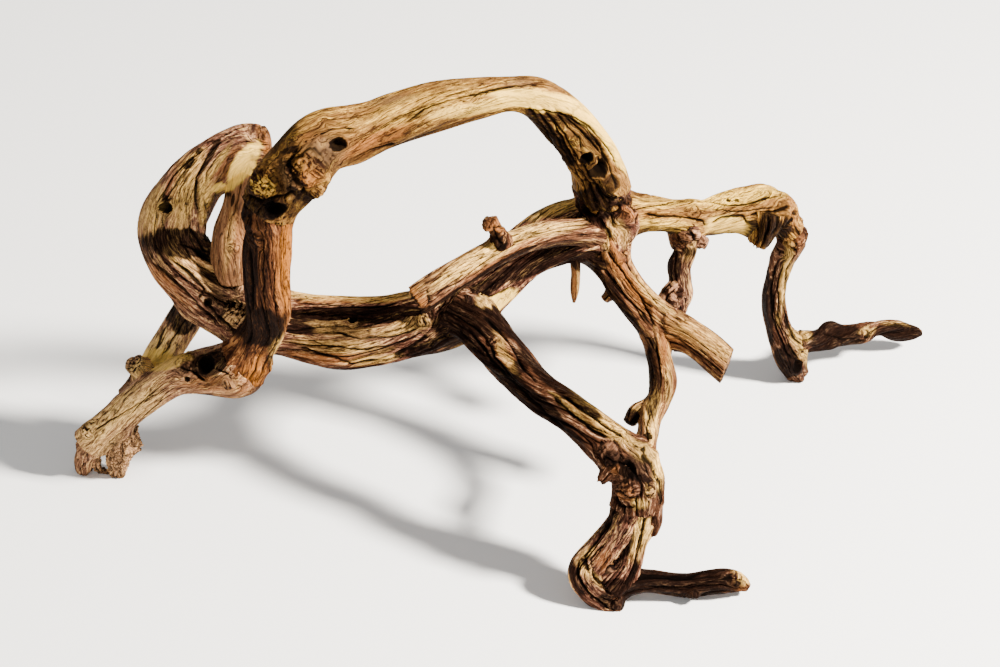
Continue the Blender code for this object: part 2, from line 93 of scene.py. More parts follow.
# Paths: pixels across, pixels down, millimetres back, half thickness in millimetres.
PATHS = {
    "arch": (
        (268, 204, -46, 17), (282, 184, -48, 20), (302, 163, -48, 20.5), (323, 143, -43, 20),
        (350, 137, -35, 19.5), (375, 129, -28, 17.5), (400, 119, -22, 17), (440, 106, -10, 16.5),
        (480, 97, 0, 14), (510, 93, 8, 12), (536, 97, 14, 14.5), (559, 115, 22, 17),
        (579, 141, 30, 18), (595, 167, 36, 18), (604, 192, 40, 16.5), (607, 208, 43, 9),
    ),
    "crotch": ((600, 184, 38, 15), (606, 205, 40, 18), (611, 225, 40, 17), (610, 246, 36, 12)),
    "post": (
        (269, 204, -46, 14), (269, 230, -45, 15), (267, 250, -42, 16), (266, 275, -37, 15.5),
        (268, 300, -30, 15.5), (267, 322, -20, 15.5), (254, 345, -12, 15), (240, 367, -10, 16.5),
    ),
    "foot_limb": (
        (247, 364, -10, 17), (231, 371, -10, 20), (205, 373, -8, 17), (180, 377, -7, 14),
        (160, 387, -6, 13), (140, 401, -3, 12), (118, 418, 4, 12), (89, 439, 12, 12),
    ),
    "foot_tip": ((98, 438, 12, 9.5), (87, 454, 16, 8), (84, 466, 19, 7), (84, 477, 21, 4.5)),
    "foot_crust": ((126, 428, 5, 7), (123, 444, 9, 9.5), (119, 459, 13, 8), (117, 478, 18, 5)),
    "foot_crust_horn": ((121, 445, 9, 6.5), (133, 445, 8, 6), (140, 446, 8, 3.5)),
    "foot_crust_loop": (
        (96, 452, 14, 3), (97, 467, 17, 2.2), (106, 473, 18, 2.4), (115, 473, 18, 3),
    ),
    "twisted_trunk": (
        (264, 147, 30, 12), (246, 147, 31, 15.7), (219, 162, 32, 18.2), (195, 181, 30, 20),
        (179, 207, 26, 24), (172, 231, 22, 25.5), (180, 258, 18, 24), (200, 284, 13, 22.5),
        (222, 303, 10, 21.5), (245, 317, 8, 19), (262, 326, 8, 16),
    ),
    "inner_stem": (
        (244, 160, 33, 8), (238, 182, 20, 9), (233, 206, 11, 8), (230, 232, 8, 11.8),
        (230, 256, 6, 13), (229, 276, 8, 12),
    ),
    "rear_leg": (
        (197, 298, 18, 12), (179, 330, 25, 12.5), (164, 354, 25, 12), (148, 377, 20, 11),
        (131, 398, 12, 9),
    ),
    "rear_stub": ((152, 380, 18, 8), (143, 372, 12, 8), (134, 364, 7, 7.5)),
    "trunk": (
        (268, 328, 8, 14.5), (300, 338, 4, 14.5), (340, 345, 0, 16), (375, 345, -2, 15),
        (410, 339, 0, 15), (440, 327, 2, 17.5), (464, 311, 6, 18), (497, 285, 12, 14),
        (530, 261, 22, 11), (560, 249, 30, 11), (592, 238, 38, 12),
    ),
    "trunk_upper": (
        (274, 298, 20, 9.5), (300, 303, 18, 8), (340, 306, 14, 7), (380, 307, 12, 7.5),
        (410, 303, 11, 8), (440, 300, 12, 9), (470, 288, 18, 10), (495, 262, 26, 9.5),
        (521, 238, 33, 9), (547, 219, 38, 8), (575, 209, 42, 7.5), (598, 212, 42, 8),
    ),
    "trunk_core": (
        (266, 318, 20, 11), (300, 321, 18, 10), (360, 325, 14, 10), (420, 318, 14, 11),
        (465, 300, 18, 12), (510, 268, 28, 10), (550, 240, 36, 10), (595, 225, 42, 10),
    ),
    "front_branch": (
        (601, 234, 35, 8), (580, 232, 22, 9.5), (550, 234, 8, 9.7), (520, 242, -6, 9.4),
        (490, 256, -20, 9.6), (460, 273, -32, 9.9), (432, 290, -42, 10.4), (417, 300, -46, 10.4),
    ),
    "front_branch_peg": ((502, 245, -14, 7.5), (497, 232, -18, 5.2), (490, 221, -22, 4.4)),
    "down_limb": (
        (605, 232, 38, 11.2), (611, 258, 33, 11.8), (621, 280, 24, 12.8), (636, 301, 14, 13.7),
        (655, 320, 2, 14.5), (668, 331, -5, 13),
    ),
    "down_limb_web": ((612, 264, 32, 9), (595, 256, 33, 9), (578, 248, 32, 6)),
    "down_limb_knob": ((614, 290, 20, 4), (605, 299, 16, 3.6)),
    "spike": (
        (584, 249, 31, 4), (576, 258, 27, 4), (576, 274, 24, 3.2), (575, 290, 23, 3.2),
        (574, 302, 23, 1.2),
    ),
    "cut_branch": (
        (667, 325, -3, 9), (684, 332, -12, 12), (705, 346, -20, 12.2), (727, 365, -30, 12.2),
    ),
    "thin_leg": (
        (656, 322, 1, 10), (657, 344, -14, 9), (661, 364, -28, 8.8), (663, 384, -42, 9.6),
        (658, 402, -58, 8), (650, 418, -74, 7.6), (648, 434, -90, 7), (647, 450, -104, 6),
    ),
    "thin_leg_stub": ((653, 406, -62, 6), (637, 411, -66, 5.6), (630, 422, -72, 5)),
    "right_limb": (
        (602, 210, 38, 13), (638, 213, 47, 14), (670, 215, 60, 12.4), (700, 218, 72, 13),
        (725, 213, 84, 14.8), (750, 210, 94, 16.3), (768, 207, 103, 16), (780, 212, 110, 12.7),
        (787, 229, 115, 10),
    ),
    "bark_slab": ((769, 212, 88, 12), (765, 226, 84, 11.5), (758, 242, 82, 9)),
    "right_leg": (
        (795, 230, 117, 8), (792, 243, 118, 10), (783, 258, 121, 10), (777, 280, 124, 9.3),
        (774, 300, 127, 9.5), (777, 320, 130, 9.8), (784, 341, 133, 11), (791, 358, 136, 11.3),
        (797, 374, 140, 8.4),
    ),
    "twig": (
        (798, 340, 136, 8.5), (815, 340, 145, 8), (829, 336, 152, 9.2), (845, 335, 158, 7),
        (862, 332, 164, 8.2), (879, 328, 168, 6.5), (897, 331, 172, 7), (913, 332, 175, 4.6),
        (921, 333, 177, 2),
    ),
    "hanging_branch": (
        (688, 220, 67, 11), (684, 238, 61, 10.5), (686, 251, 57, 8), (680, 266, 54, 8.4),
        (681, 282, 50, 7.7), (681, 298, 47, 7.6), (681, 312, 45, 3.6),
    ),
    "hanging_lump": ((682, 292, 47, 5), (672, 294, 44, 7), (670, 303, 43, 5.5)),
    "hanging_stub": ((689, 233, 62, 5.5), (699, 240, 58, 4.6), (706, 243, 56, 3.8)),
    "front_leg": (
        (455, 306, 0, 13), (479, 326, -14, 15.5), (495, 348, -28, 15.5), (512, 366, -42, 14.8),
        (531, 383, -55, 14), (551, 399, -66, 13.7), (581, 420, -85, 14), (607, 443, -98, 15.5),
        (630, 467, -108, 17.4), (638, 490, -114, 16.9), (636, 510, -119, 14.5),
    ),
    "knee_stub": ((624, 468, -113, 7.5), (611, 470, -117, 6), (601, 481, -121, 3.6)),
    "knee_horn": ((650, 506, -118, 8), (654, 522, -122, 5.5), (652, 534, -124, 3.5)),
    "front_foot": (
        (637, 499, -114, 11), (621, 527, -119, 10.5), (602, 549, -122, 10.5),
        (584, 569, -127, 10.6), (591, 588, -132, 9.5), (608, 600, -134, 9), (621, 604, -136, 6.2),
    ),
    "front_foot_rib": (
        (643, 502, -117, 9.5), (640, 525, -122, 7.5), (634, 547, -126, 8), (627, 565, -129, 8.8),
        (608, 584, -132, 8.8),
    ),
    "front_foot_web": (
        (632, 520, -116, 9), (614, 547, -118, 9), (604, 566, -123, 10), (606, 584, -128, 9),
    ),
    "foot_branch": (
        (610, 588, -131, 8.5), (630, 582, -130, 9), (650, 581, -129, 8), (670, 583, -128, 7.8),
        (690, 584, -127, 8.6), (710, 581, -126, 8.5), (726, 580, -125, 8.5), (740, 583, -124, 6.3),
        (747, 587, -124, 3.2),
    ),
}

# Ribs along a limb: how many, how deep, where they start, and their twist in radians per mm.
RIBS = {
    "arch": (3, 0.08, 2.0, 0.008),
    "crotch": (3, 0.10, 1.0, 0.012),
    "post": (4, 0.07, 0.0, 0.006),
    "foot_limb": (3, 0.09, 0.5, 0.010),
    "twisted_trunk": (4, 0.10, 0.8, 0.012),
    "inner_stem": (2, 0.10, 0.0, 0.012),
    "rear_leg": (3, 0.08, 0.9, 0.008),
    "trunk": (3, 0.10, 0.9, 0.012),
    "trunk_upper": (2, 0.10, 0.0, 0.020),
    "trunk_core": (2, 0.08, 1.0, 0.012),
    "front_branch": (3, 0.07, 0.0, 0.006),
    "down_limb": (4, 0.09, 0.6, 0.006),
    "cut_branch": (3, 0.08, 1.2, 0.004),
    "thin_leg": (3, 0.08, 0.0, 0.020),
    "right_limb": (4, 0.08, 0.3, 0.012),
    "bark_slab": (2, 0.20, 0.0, 0.012),
    "right_leg": (4, 0.08, 0.0, 0.012),
    "twig": (2, 0.22, 0.0, 0.045),
    "hanging_branch": (3, 0.09, 0.4, 0.020),
    "front_leg": (3, 0.10, 2.4, 0.016),
    "front_foot": (3, 0.10, 0.0, 0.012),
    "front_foot_rib": (2, 0.10, 0.5, 0.012),
    "foot_branch": (3, 0.07, 0.2, 0.012),
}
PLAIN_RIBS = (3, 0.09, 0.4, 0.012)
# Every limb also has this many low ribs, which are this share as deep.
LOW_RIBS = (5, 0.5)

# Relief of a surface in millimetres: strands, furrows, fibres and cracks.
SMOOTH = (0.35, 0.30, 0.12, 0.8)
WORN = (0.7, 0.45, 0.16, 1.3)
FURROWED = (1.1, 0.65, 0.20, 1.6)
ROPY = (1.7, 0.95, 0.25, 2.0)
CRUSTY = (1.4, 1.5, 0.45, 1.2)

# Each strand's relief and its two ends.
STRANDS = {
    "arch": (SMOOTH, "hidden", "hidden"),
    "crotch": (ROPY, "hidden", "hidden"),
    "post": (FURROWED, "hidden", "round"),
    "foot_limb": (WORN, "hidden", "torn"),
    "foot_tip": (WORN, "hidden", "torn"),
    "foot_crust": (CRUSTY, "hidden", "torn"),
    "foot_crust_horn": (CRUSTY, "hidden", "torn"),
    "foot_crust_loop": (CRUSTY, "hidden", "hidden"),
    "twisted_trunk": (ROPY, "round", "hidden"),
    "inner_stem": (SMOOTH, "hidden", "hidden"),
    "rear_leg": (FURROWED, "hidden", "round"),
    "rear_stub": (SMOOTH, "hidden", "cut"),
    "trunk": (ROPY, "hidden", "hidden"),
    "trunk_upper": (FURROWED, "hidden", "hidden"),
    "trunk_core": (FURROWED, "hidden", "hidden"),
    "front_branch": (WORN, "hidden", "torn"),
    "front_branch_peg": (FURROWED, "hidden", "round"),
    "down_limb": (FURROWED, "hidden", "round"),
    "down_limb_web": (FURROWED, "hidden", "round"),
    "down_limb_knob": (SMOOTH, "hidden", "round"),
    "spike": (SMOOTH, "hidden", "round"),
    "cut_branch": (FURROWED, "hidden", "cut"),
    "thin_leg": (SMOOTH, "hidden", "hidden"),
    "thin_leg_stub": (FURROWED, "hidden", "round"),
    "right_limb": (FURROWED, "hidden", "round"),
    "bark_slab": (FURROWED, "hidden", "torn"),
    "right_leg": (ROPY, "round", "round"),
    "twig": (FURROWED, "hidden", "round"),
    "hanging_branch": (ROPY, "hidden", "torn"),
    "hanging_lump": (CRUSTY, "hidden", "round"),
    "hanging_stub": (CRUSTY, "hidden", "round"),
    "front_leg": (ROPY, "hidden", "hidden"),
    "knee_stub": (FURROWED, "hidden", "torn"),
    "knee_horn": (FURROWED, "hidden", "torn"),
    "front_foot": (ROPY, "hidden", "round"),
    "front_foot_rib": (ROPY, "hidden", "hidden"),
    "front_foot_web": (ROPY, "hidden", "hidden"),
    "foot_branch": (FURROWED, "hidden", "round"),
}

FLAT_ENDS = ("cut", "torn")

# Ends that are cut at a slant: millimetres forward for each pixel down, and how far it reaches.
SLANTS = {"cut_branch": 0.34}
SLANT_REACH = 14.0

# Strands that lie close to others without growing into them.
LOOSE = ("inner_stem", "foot_crust_loop", "spike")

# Which strands make up the piece that stands for each node, and its wood.
NODES = {
    "arch": (("arch",), "arch_wood"),
    "crotch": (("crotch",), "trunk_wood"),
    "post": (("post",), "stem_wood"),
    "foot_limb": (
        ("foot_limb", "foot_tip", "foot_crust", "foot_crust_horn", "foot_crust_loop"),
        "arch_wood",
    ),
    "twisted_trunk": (("twisted_trunk",), "trunk_wood"),
    "inner_stem": (("inner_stem",), "stem_wood"),
    "rear_leg": (("rear_leg", "rear_stub"), "trunk_wood"),
    "trunk": (("trunk", "trunk_upper", "trunk_core"), "trunk_wood"),
    "front_branch": (("front_branch", "front_branch_peg"), "pale_wood"),
    "down_limb": (("down_limb", "down_limb_web", "down_limb_knob", "spike"), "pale_wood"),
    "cut_branch": (("cut_branch",), "pale_wood"),
    "thin_leg": (("thin_leg", "thin_leg_stub"), "pale_wood"),
    "front_leg": (("front_leg", "knee_stub", "knee_horn"), "dark_wood"),
    "front_foot": (("front_foot", "front_foot_rib", "front_foot_web"), "trunk_wood"),
    "foot_branch": (("foot_branch",), "dark_wood"),
    "right_limb": (("right_limb", "bark_slab"), "arch_wood"),
    "right_leg": (("right_leg",), "dark_wood"),
    "twig": (("twig",), "dark_wood"),
    "hanging_branch": (("hanging_branch", "hanging_lump", "hanging_stub"), "trunk_wood"),
}

# Knots and holes: kind, pixels across and down, radius and height in millimetres.
KNOTS = {
    "arch": (
        ("stub", 306, 168, 11.5, 4.0), ("crumb", 318, 189, 6, 4), ("crumb", 262, 184, 12, 1.5),
        ("hole", 338, 144, 4.5, 6), ("hole", 275, 209, 7, 7), ("ring", 575, 140, 4.5, 2.5),
        ("hole", 600, 168, 7.5, 9), ("hole", 586, 158, 4.6, 7), ("ring", 561, 128, 4, 2),
        ("ring", 612, 186, 6, 3),
    ),
    "crotch": (
        ("ring", 628, 214, 8, 4), ("hole", 592, 206, 6, 8), ("ring", 608, 192, 6, 3),
        ("hole", 613, 208, 4, 6), ("ring", 586, 222, 6, 2.5),
    ),
    "post": (("crumb", 257, 236, 6, 2),),
    "foot_limb": (
        ("ring", 186, 362, 7, 3.5), ("crumb", 228, 385, 4, 1.2), ("hole", 187, 379, 2, 2),
        ("hole", 208, 364, 7, 4), ("crumb", 86, 432, 6, 1.5),
    ),
    "twisted_trunk": (
        ("hole", 165, 208, 4, 5), ("crumb", 235, 287, 8, 5),
        ("crumb", 236, 313, 11, 3.5), ("ring", 264, 135, 8, 4),
        ("hole", 207, 302, 3, 3),
    ),
    "inner_stem": (("ring", 233, 249, 4, 1.2),),
    "rear_leg": (("ring", 163, 371, 6, 2),),
    "trunk": (
        ("hole", 353, 321, 3.5, 4),
        ("crumb", 425, 318, 8, 3), ("ring", 465, 305, 8, 3),
    ),
    "front_branch_peg": (("ring", 489, 224, 7, 4), ("crumb", 500, 240, 6, 3)),
    "down_limb": (("hole", 600, 251, 2.2, 3), ("ring", 622, 262, 4, 1)),
    "thin_leg": (("hole", 647, 436, 3, 2.5),),
    "front_leg": (
        ("crumb", 494, 341, 4, 3), ("crumb", 611, 456, 8, 3),
        ("crumb", 628, 491, 8.5, 5), ("crumb", 650, 490, 5.5, 3.5), ("hole", 628, 468, 5, 3),
    ),
    "front_foot": (("ring", 616, 603, 6, 3), ("hole", 600, 577, 3, 3)),
    "front_foot_web": (
        ("hole", 618, 552, 6.5, 8), ("crumb", 606, 550, 6, 3), ("crumb", 628, 552, 5, 3),
        ("crumb", 607, 566, 5, 3),
    ),
    "foot_branch": (("crumb", 694, 594, 4, 2.5), ("crumb", 735, 580, 6, 1.2)),
    "right_limb": (
        ("ring", 784, 212, 9, 4), ("hole", 737, 200, 1.8, 2), ("hole", 728, 201, 1.5, 1.5),
        ("crumb", 788, 222, 6, 2), ("ring", 693, 213, 4, 0.8),
    ),
    "right_leg": (("ring", 797, 240, 7, 4), ("crumb", 780, 252, 5, 2), ("hole", 798, 366, 5, 4)),
    "twig": (("crumb", 864, 335, 4, 1),),
    "hanging_branch": (("crumb", 690, 236, 8, 4), ("ring", 680, 248, 5, 2)),
    "hanging_lump": (("crumb", 670, 294, 6, 3),),
}

# Creases and ridges drawn along the surface: height and half width in millimetres, then points.
LINES = {
    "arch": (
        (-2.2, 1.1, (395, 132), (424, 110), (450, 100), (480, 93), (502, 87), (530, 84), (548, 88)),
        (-1.4, 0.8, (430, 127), (423, 123), (416, 130)),
        (-2.0, 0.9, (514, 109), (545, 112), (575, 117), (590, 126), (602, 140), (613, 155),
         (620, 172)),
        (-3.5, 2.0, (296, 150), (288, 160), (292, 172), (303, 184), (305, 196)),
        (3.0, 2.2, (284, 163), (290, 176), (300, 188), (302, 194)),
        (-3.0, 1.6, (243, 192), (262, 200), (282, 197), (298, 191)),
        (-3.0, 1.5, (265, 224), (276, 226), (288, 222)),
        (-2.0, 1.0, (352, 160), (372, 150), (398, 144)),
        (-3.2, 1.2, (540, 106), (556, 126), (566, 150), (584, 176), (594, 196), (600, 208)),
        (-3.4, 1.2, (552, 108), (570, 118), (588, 128), (602, 146), (612, 168), (614, 196)),
        (-3.2, 1.2, (548, 114), (562, 130), (572, 150), (588, 172), (598, 190), (606, 206)),
        (-3.0, 1.1, (556, 112), (568, 128), (580, 140), (582, 152)),
        (-3.0, 1.1, (562, 114), (578, 128), (592, 142), (606, 160), (610, 178)),
        (-2.8, 1.1, (526, 104), (546, 132), (560, 160), (576, 186), (586, 204)),
        (-2.2, 1.0, (580, 180), (596, 186), (604, 196), (616, 204)),
        (-2.0, 0.9, (570, 116), (586, 130), (598, 144), (608, 152)),
        (-2.0, 0.9, (534, 106), (552, 132), (570, 162), (582, 184), (588, 198)),
        (2.0, 1.4, (574, 148), (588, 150), (594, 160), (590, 176), (598, 188)),
    ),
    "crotch": (
        (-2.5, 1.3, (592, 190), (606, 196), (622, 192)),
        (-2.5, 1.3, (600, 214), (608, 228), (612, 246)),
        (-2.0, 1.1, (616, 200), (634, 210), (632, 226)),
        (2.0, 1.8, (604, 210), (608, 226), (616, 240)),
    ),
    "post": (
        (-1.8, 0.9, (263, 230), (264, 262), (263, 290), (268, 320)),
        (-1.4, 0.8, (274, 232), (276, 262), (274, 292), (277, 320)),
        (-1.5, 0.8, (282, 330), (272, 352), (258, 372)),
        (-2.6, 1.6, (248, 245), (252, 280), (250, 316)),
    ),
    "foot_limb": (
        (-1.6, 0.8, (90, 434), (112, 420), (138, 404), (160, 392)),
        (-2.2, 1.2, (178, 366), (192, 372), (206, 382)),
        (-1.8, 1.0, (212, 350), (228, 352), (244, 346)),
        (-1.6, 0.9, (214, 368), (226, 372), (238, 386)),
    ),
    "twisted_trunk": (
        (-2.0, 1.0, (246, 128), (220, 142), (204, 158), (196, 178), (196, 200), (202, 222)),
        (-1.2, 0.8, (240, 142), (216, 158), (206, 174), (204, 196), (209, 222)),
        (-1.6, 0.8, (200, 150), (180, 176), (166, 198), (162, 222), (168, 240)),
        (-1.6, 0.8, (190, 180), (186, 204), (190, 228), (204, 250), (224, 262)),
        (-3.0, 1.5, (150, 262), (172, 280), (196, 304), (218, 324)),
        (-2.6, 1.3, (170, 258), (190, 274), (204, 290), (196, 300)),
        (-2.2, 1.2, (188, 246), (206, 260), (226, 270), (246, 270)),
        (-2.6, 1.4, (176, 242), (200, 252), (220, 268), (240, 274)),
        (-2.6, 1.4, (204, 300), (216, 314), (232, 328), (246, 334)),
    ),
    "inner_stem": ((-1.0, 0.6, (238, 196), (232, 220), (226, 246)),),
    "rear_leg": (
        (-1.5, 0.8, (196, 306), (176, 334), (160, 360)),
        (-1.4, 0.8, (186, 306), (168, 330), (154, 352)),
    ),
    "trunk": (
        (-2.6, 1.3, (296, 345), (324, 356), (352, 364), (384, 360)),
        (-2.0, 1.0, (300, 336), (330, 346), (366, 350), (404, 342), (430, 328)),
        (-2.2, 1.1, (330, 330), (360, 338), (396, 336), (424, 326)),
        (-3.4, 1.8, (392, 358), (412, 346), (430, 334)),
        (-2.0, 1.0, (476, 300), (492, 296), (512, 288)),
    ),
    "trunk_upper": ((-1.6, 0.9, (292, 303), (330, 306), (370, 308), (404, 302)),),
    "front_branch_peg": (
        (-1.6, 0.8, (492, 222), (496, 236), (502, 244)),
        (-1.8, 0.9, (486, 230), (496, 228), (504, 226)),
    ),
    "front_branch": (
        (-1.2, 0.6, (428, 288), (456, 270), (486, 256), (520, 240), (560, 232), (590, 236)),
        (-1.4, 0.8, (424, 300), (450, 284), (474, 270)),
        (-1.2, 0.7, (486, 262), (496, 250), (500, 244)),
        (-2.6, 1.4, (426, 288), (430, 300), (428, 308)),
    ),
    "down_limb": (
        (-2.0, 0.9, (606, 246), (618, 266), (636, 290), (656, 314)),
        (-2.0, 0.9, (598, 252), (610, 276), (628, 300), (648, 326)),
        (-1.6, 0.8, (614, 240), (626, 262), (646, 288), (664, 312)),
        (-1.4, 0.7, (614, 268), (622, 262), (628, 264)),
        (-1.4, 0.7, (618, 282), (628, 278), (634, 284)),
        (-2.6, 1.4, (640, 296), (652, 322), (660, 340)),
    ),
    "cut_branch": (
        (-1.6, 0.8, (672, 334), (690, 348), (708, 362), (722, 374)),
        (-1.4, 0.7, (680, 322), (704, 338), (728, 356)),
        (-1.6, 0.8, (668, 316), (680, 322), (690, 318)),
    ),
    "thin_leg": (
        (-1.8, 0.9, (656, 340), (660, 366), (660, 392)),
        (-1.6, 0.9, (650, 410), (646, 428), (648, 446)),
    ),
    "right_limb": (
        (-3.4, 1.2, (640, 214), (660, 216), (690, 218), (703, 221), (706, 228)),
        (-1.8, 0.8, (700, 200), (730, 206), (758, 202), (782, 196)),
        (-1.8, 0.8, (704, 208), (734, 212), (760, 210), (776, 206)),
        (-3.0, 1.3, (748, 216), (762, 213), (776, 210), (786, 204)),
        (-2.4, 1.2, (708, 224), (722, 218), (733, 216), (744, 216), (749, 226)),
    ),
    "bark_slab": (
        (-2.2, 1.0, (757, 214), (759, 230), (755, 246)),
        (-2.2, 1.0, (768, 214), (768, 230), (763, 242)),
        (-2.2, 1.0, (779, 214), (777, 228), (770, 236)),
    ),
    "right_leg": (
        (-2.6, 1.1, (776, 256), (770, 290), (772, 320), (784, 350), (796, 364)),
        (-2.2, 0.9, (786, 254), (778, 286), (778, 316), (790, 346), (800, 362)),
        (-1.6, 0.8, (793, 258), (785, 290), (786, 320), (798, 348)),
    ),
    "twig": ((-1.6, 0.9, (820, 332), (842, 340), (860, 338)),),
    "front_leg": (
        (-3.6, 1.8, (548, 392), (570, 412), (592, 430), (612, 438)),
        (-2.4, 1.1, (556, 390), (580, 408), (606, 426), (630, 440)),
        (-2.6, 1.3, (480, 312), (500, 330), (514, 350), (524, 368), (540, 388)),
        (-2.4, 1.2, (486, 336), (494, 356), (512, 380), (536, 398)),
        (-2.6, 1.3, (470, 330), (488, 356), (508, 380), (540, 408), (570, 436)),
        (-2.6, 1.4, (616, 462), (632, 470), (642, 484), (640, 500)),
        (-2.2, 1.2, (640, 452), (654, 468), (660, 488)),
        (-2.2, 1.2, (626, 446), (644, 460), (650, 478)),
        (-2.4, 1.3, (614, 494), (622, 506), (636, 508)),
    ),
    "front_foot": (
        (-2.2, 1.1, (618, 512), (600, 536), (584, 556), (590, 580)),
        (-2.4, 1.1, (606, 542), (590, 560), (594, 578), (604, 588)),
        (-2.0, 1.0, (580, 556), (576, 574), (588, 594), (606, 604)),
    ),
    "front_foot_rib": (
        (-4.0, 1.7, (641, 502), (632, 515), (627, 527), (620, 545), (617, 556)),
        (2.0, 1.4, (638, 500), (629, 512), (624, 526), (617, 540)),
        (-2.0, 1.0, (648, 508), (642, 530), (636, 556)),
    ),
    "foot_branch": (
        (-1.4, 0.8, (640, 576), (670, 580), (700, 578), (724, 576)),
        (-1.4, 0.8, (640, 586), (672, 588), (704, 586), (734, 586)),
    ),
}

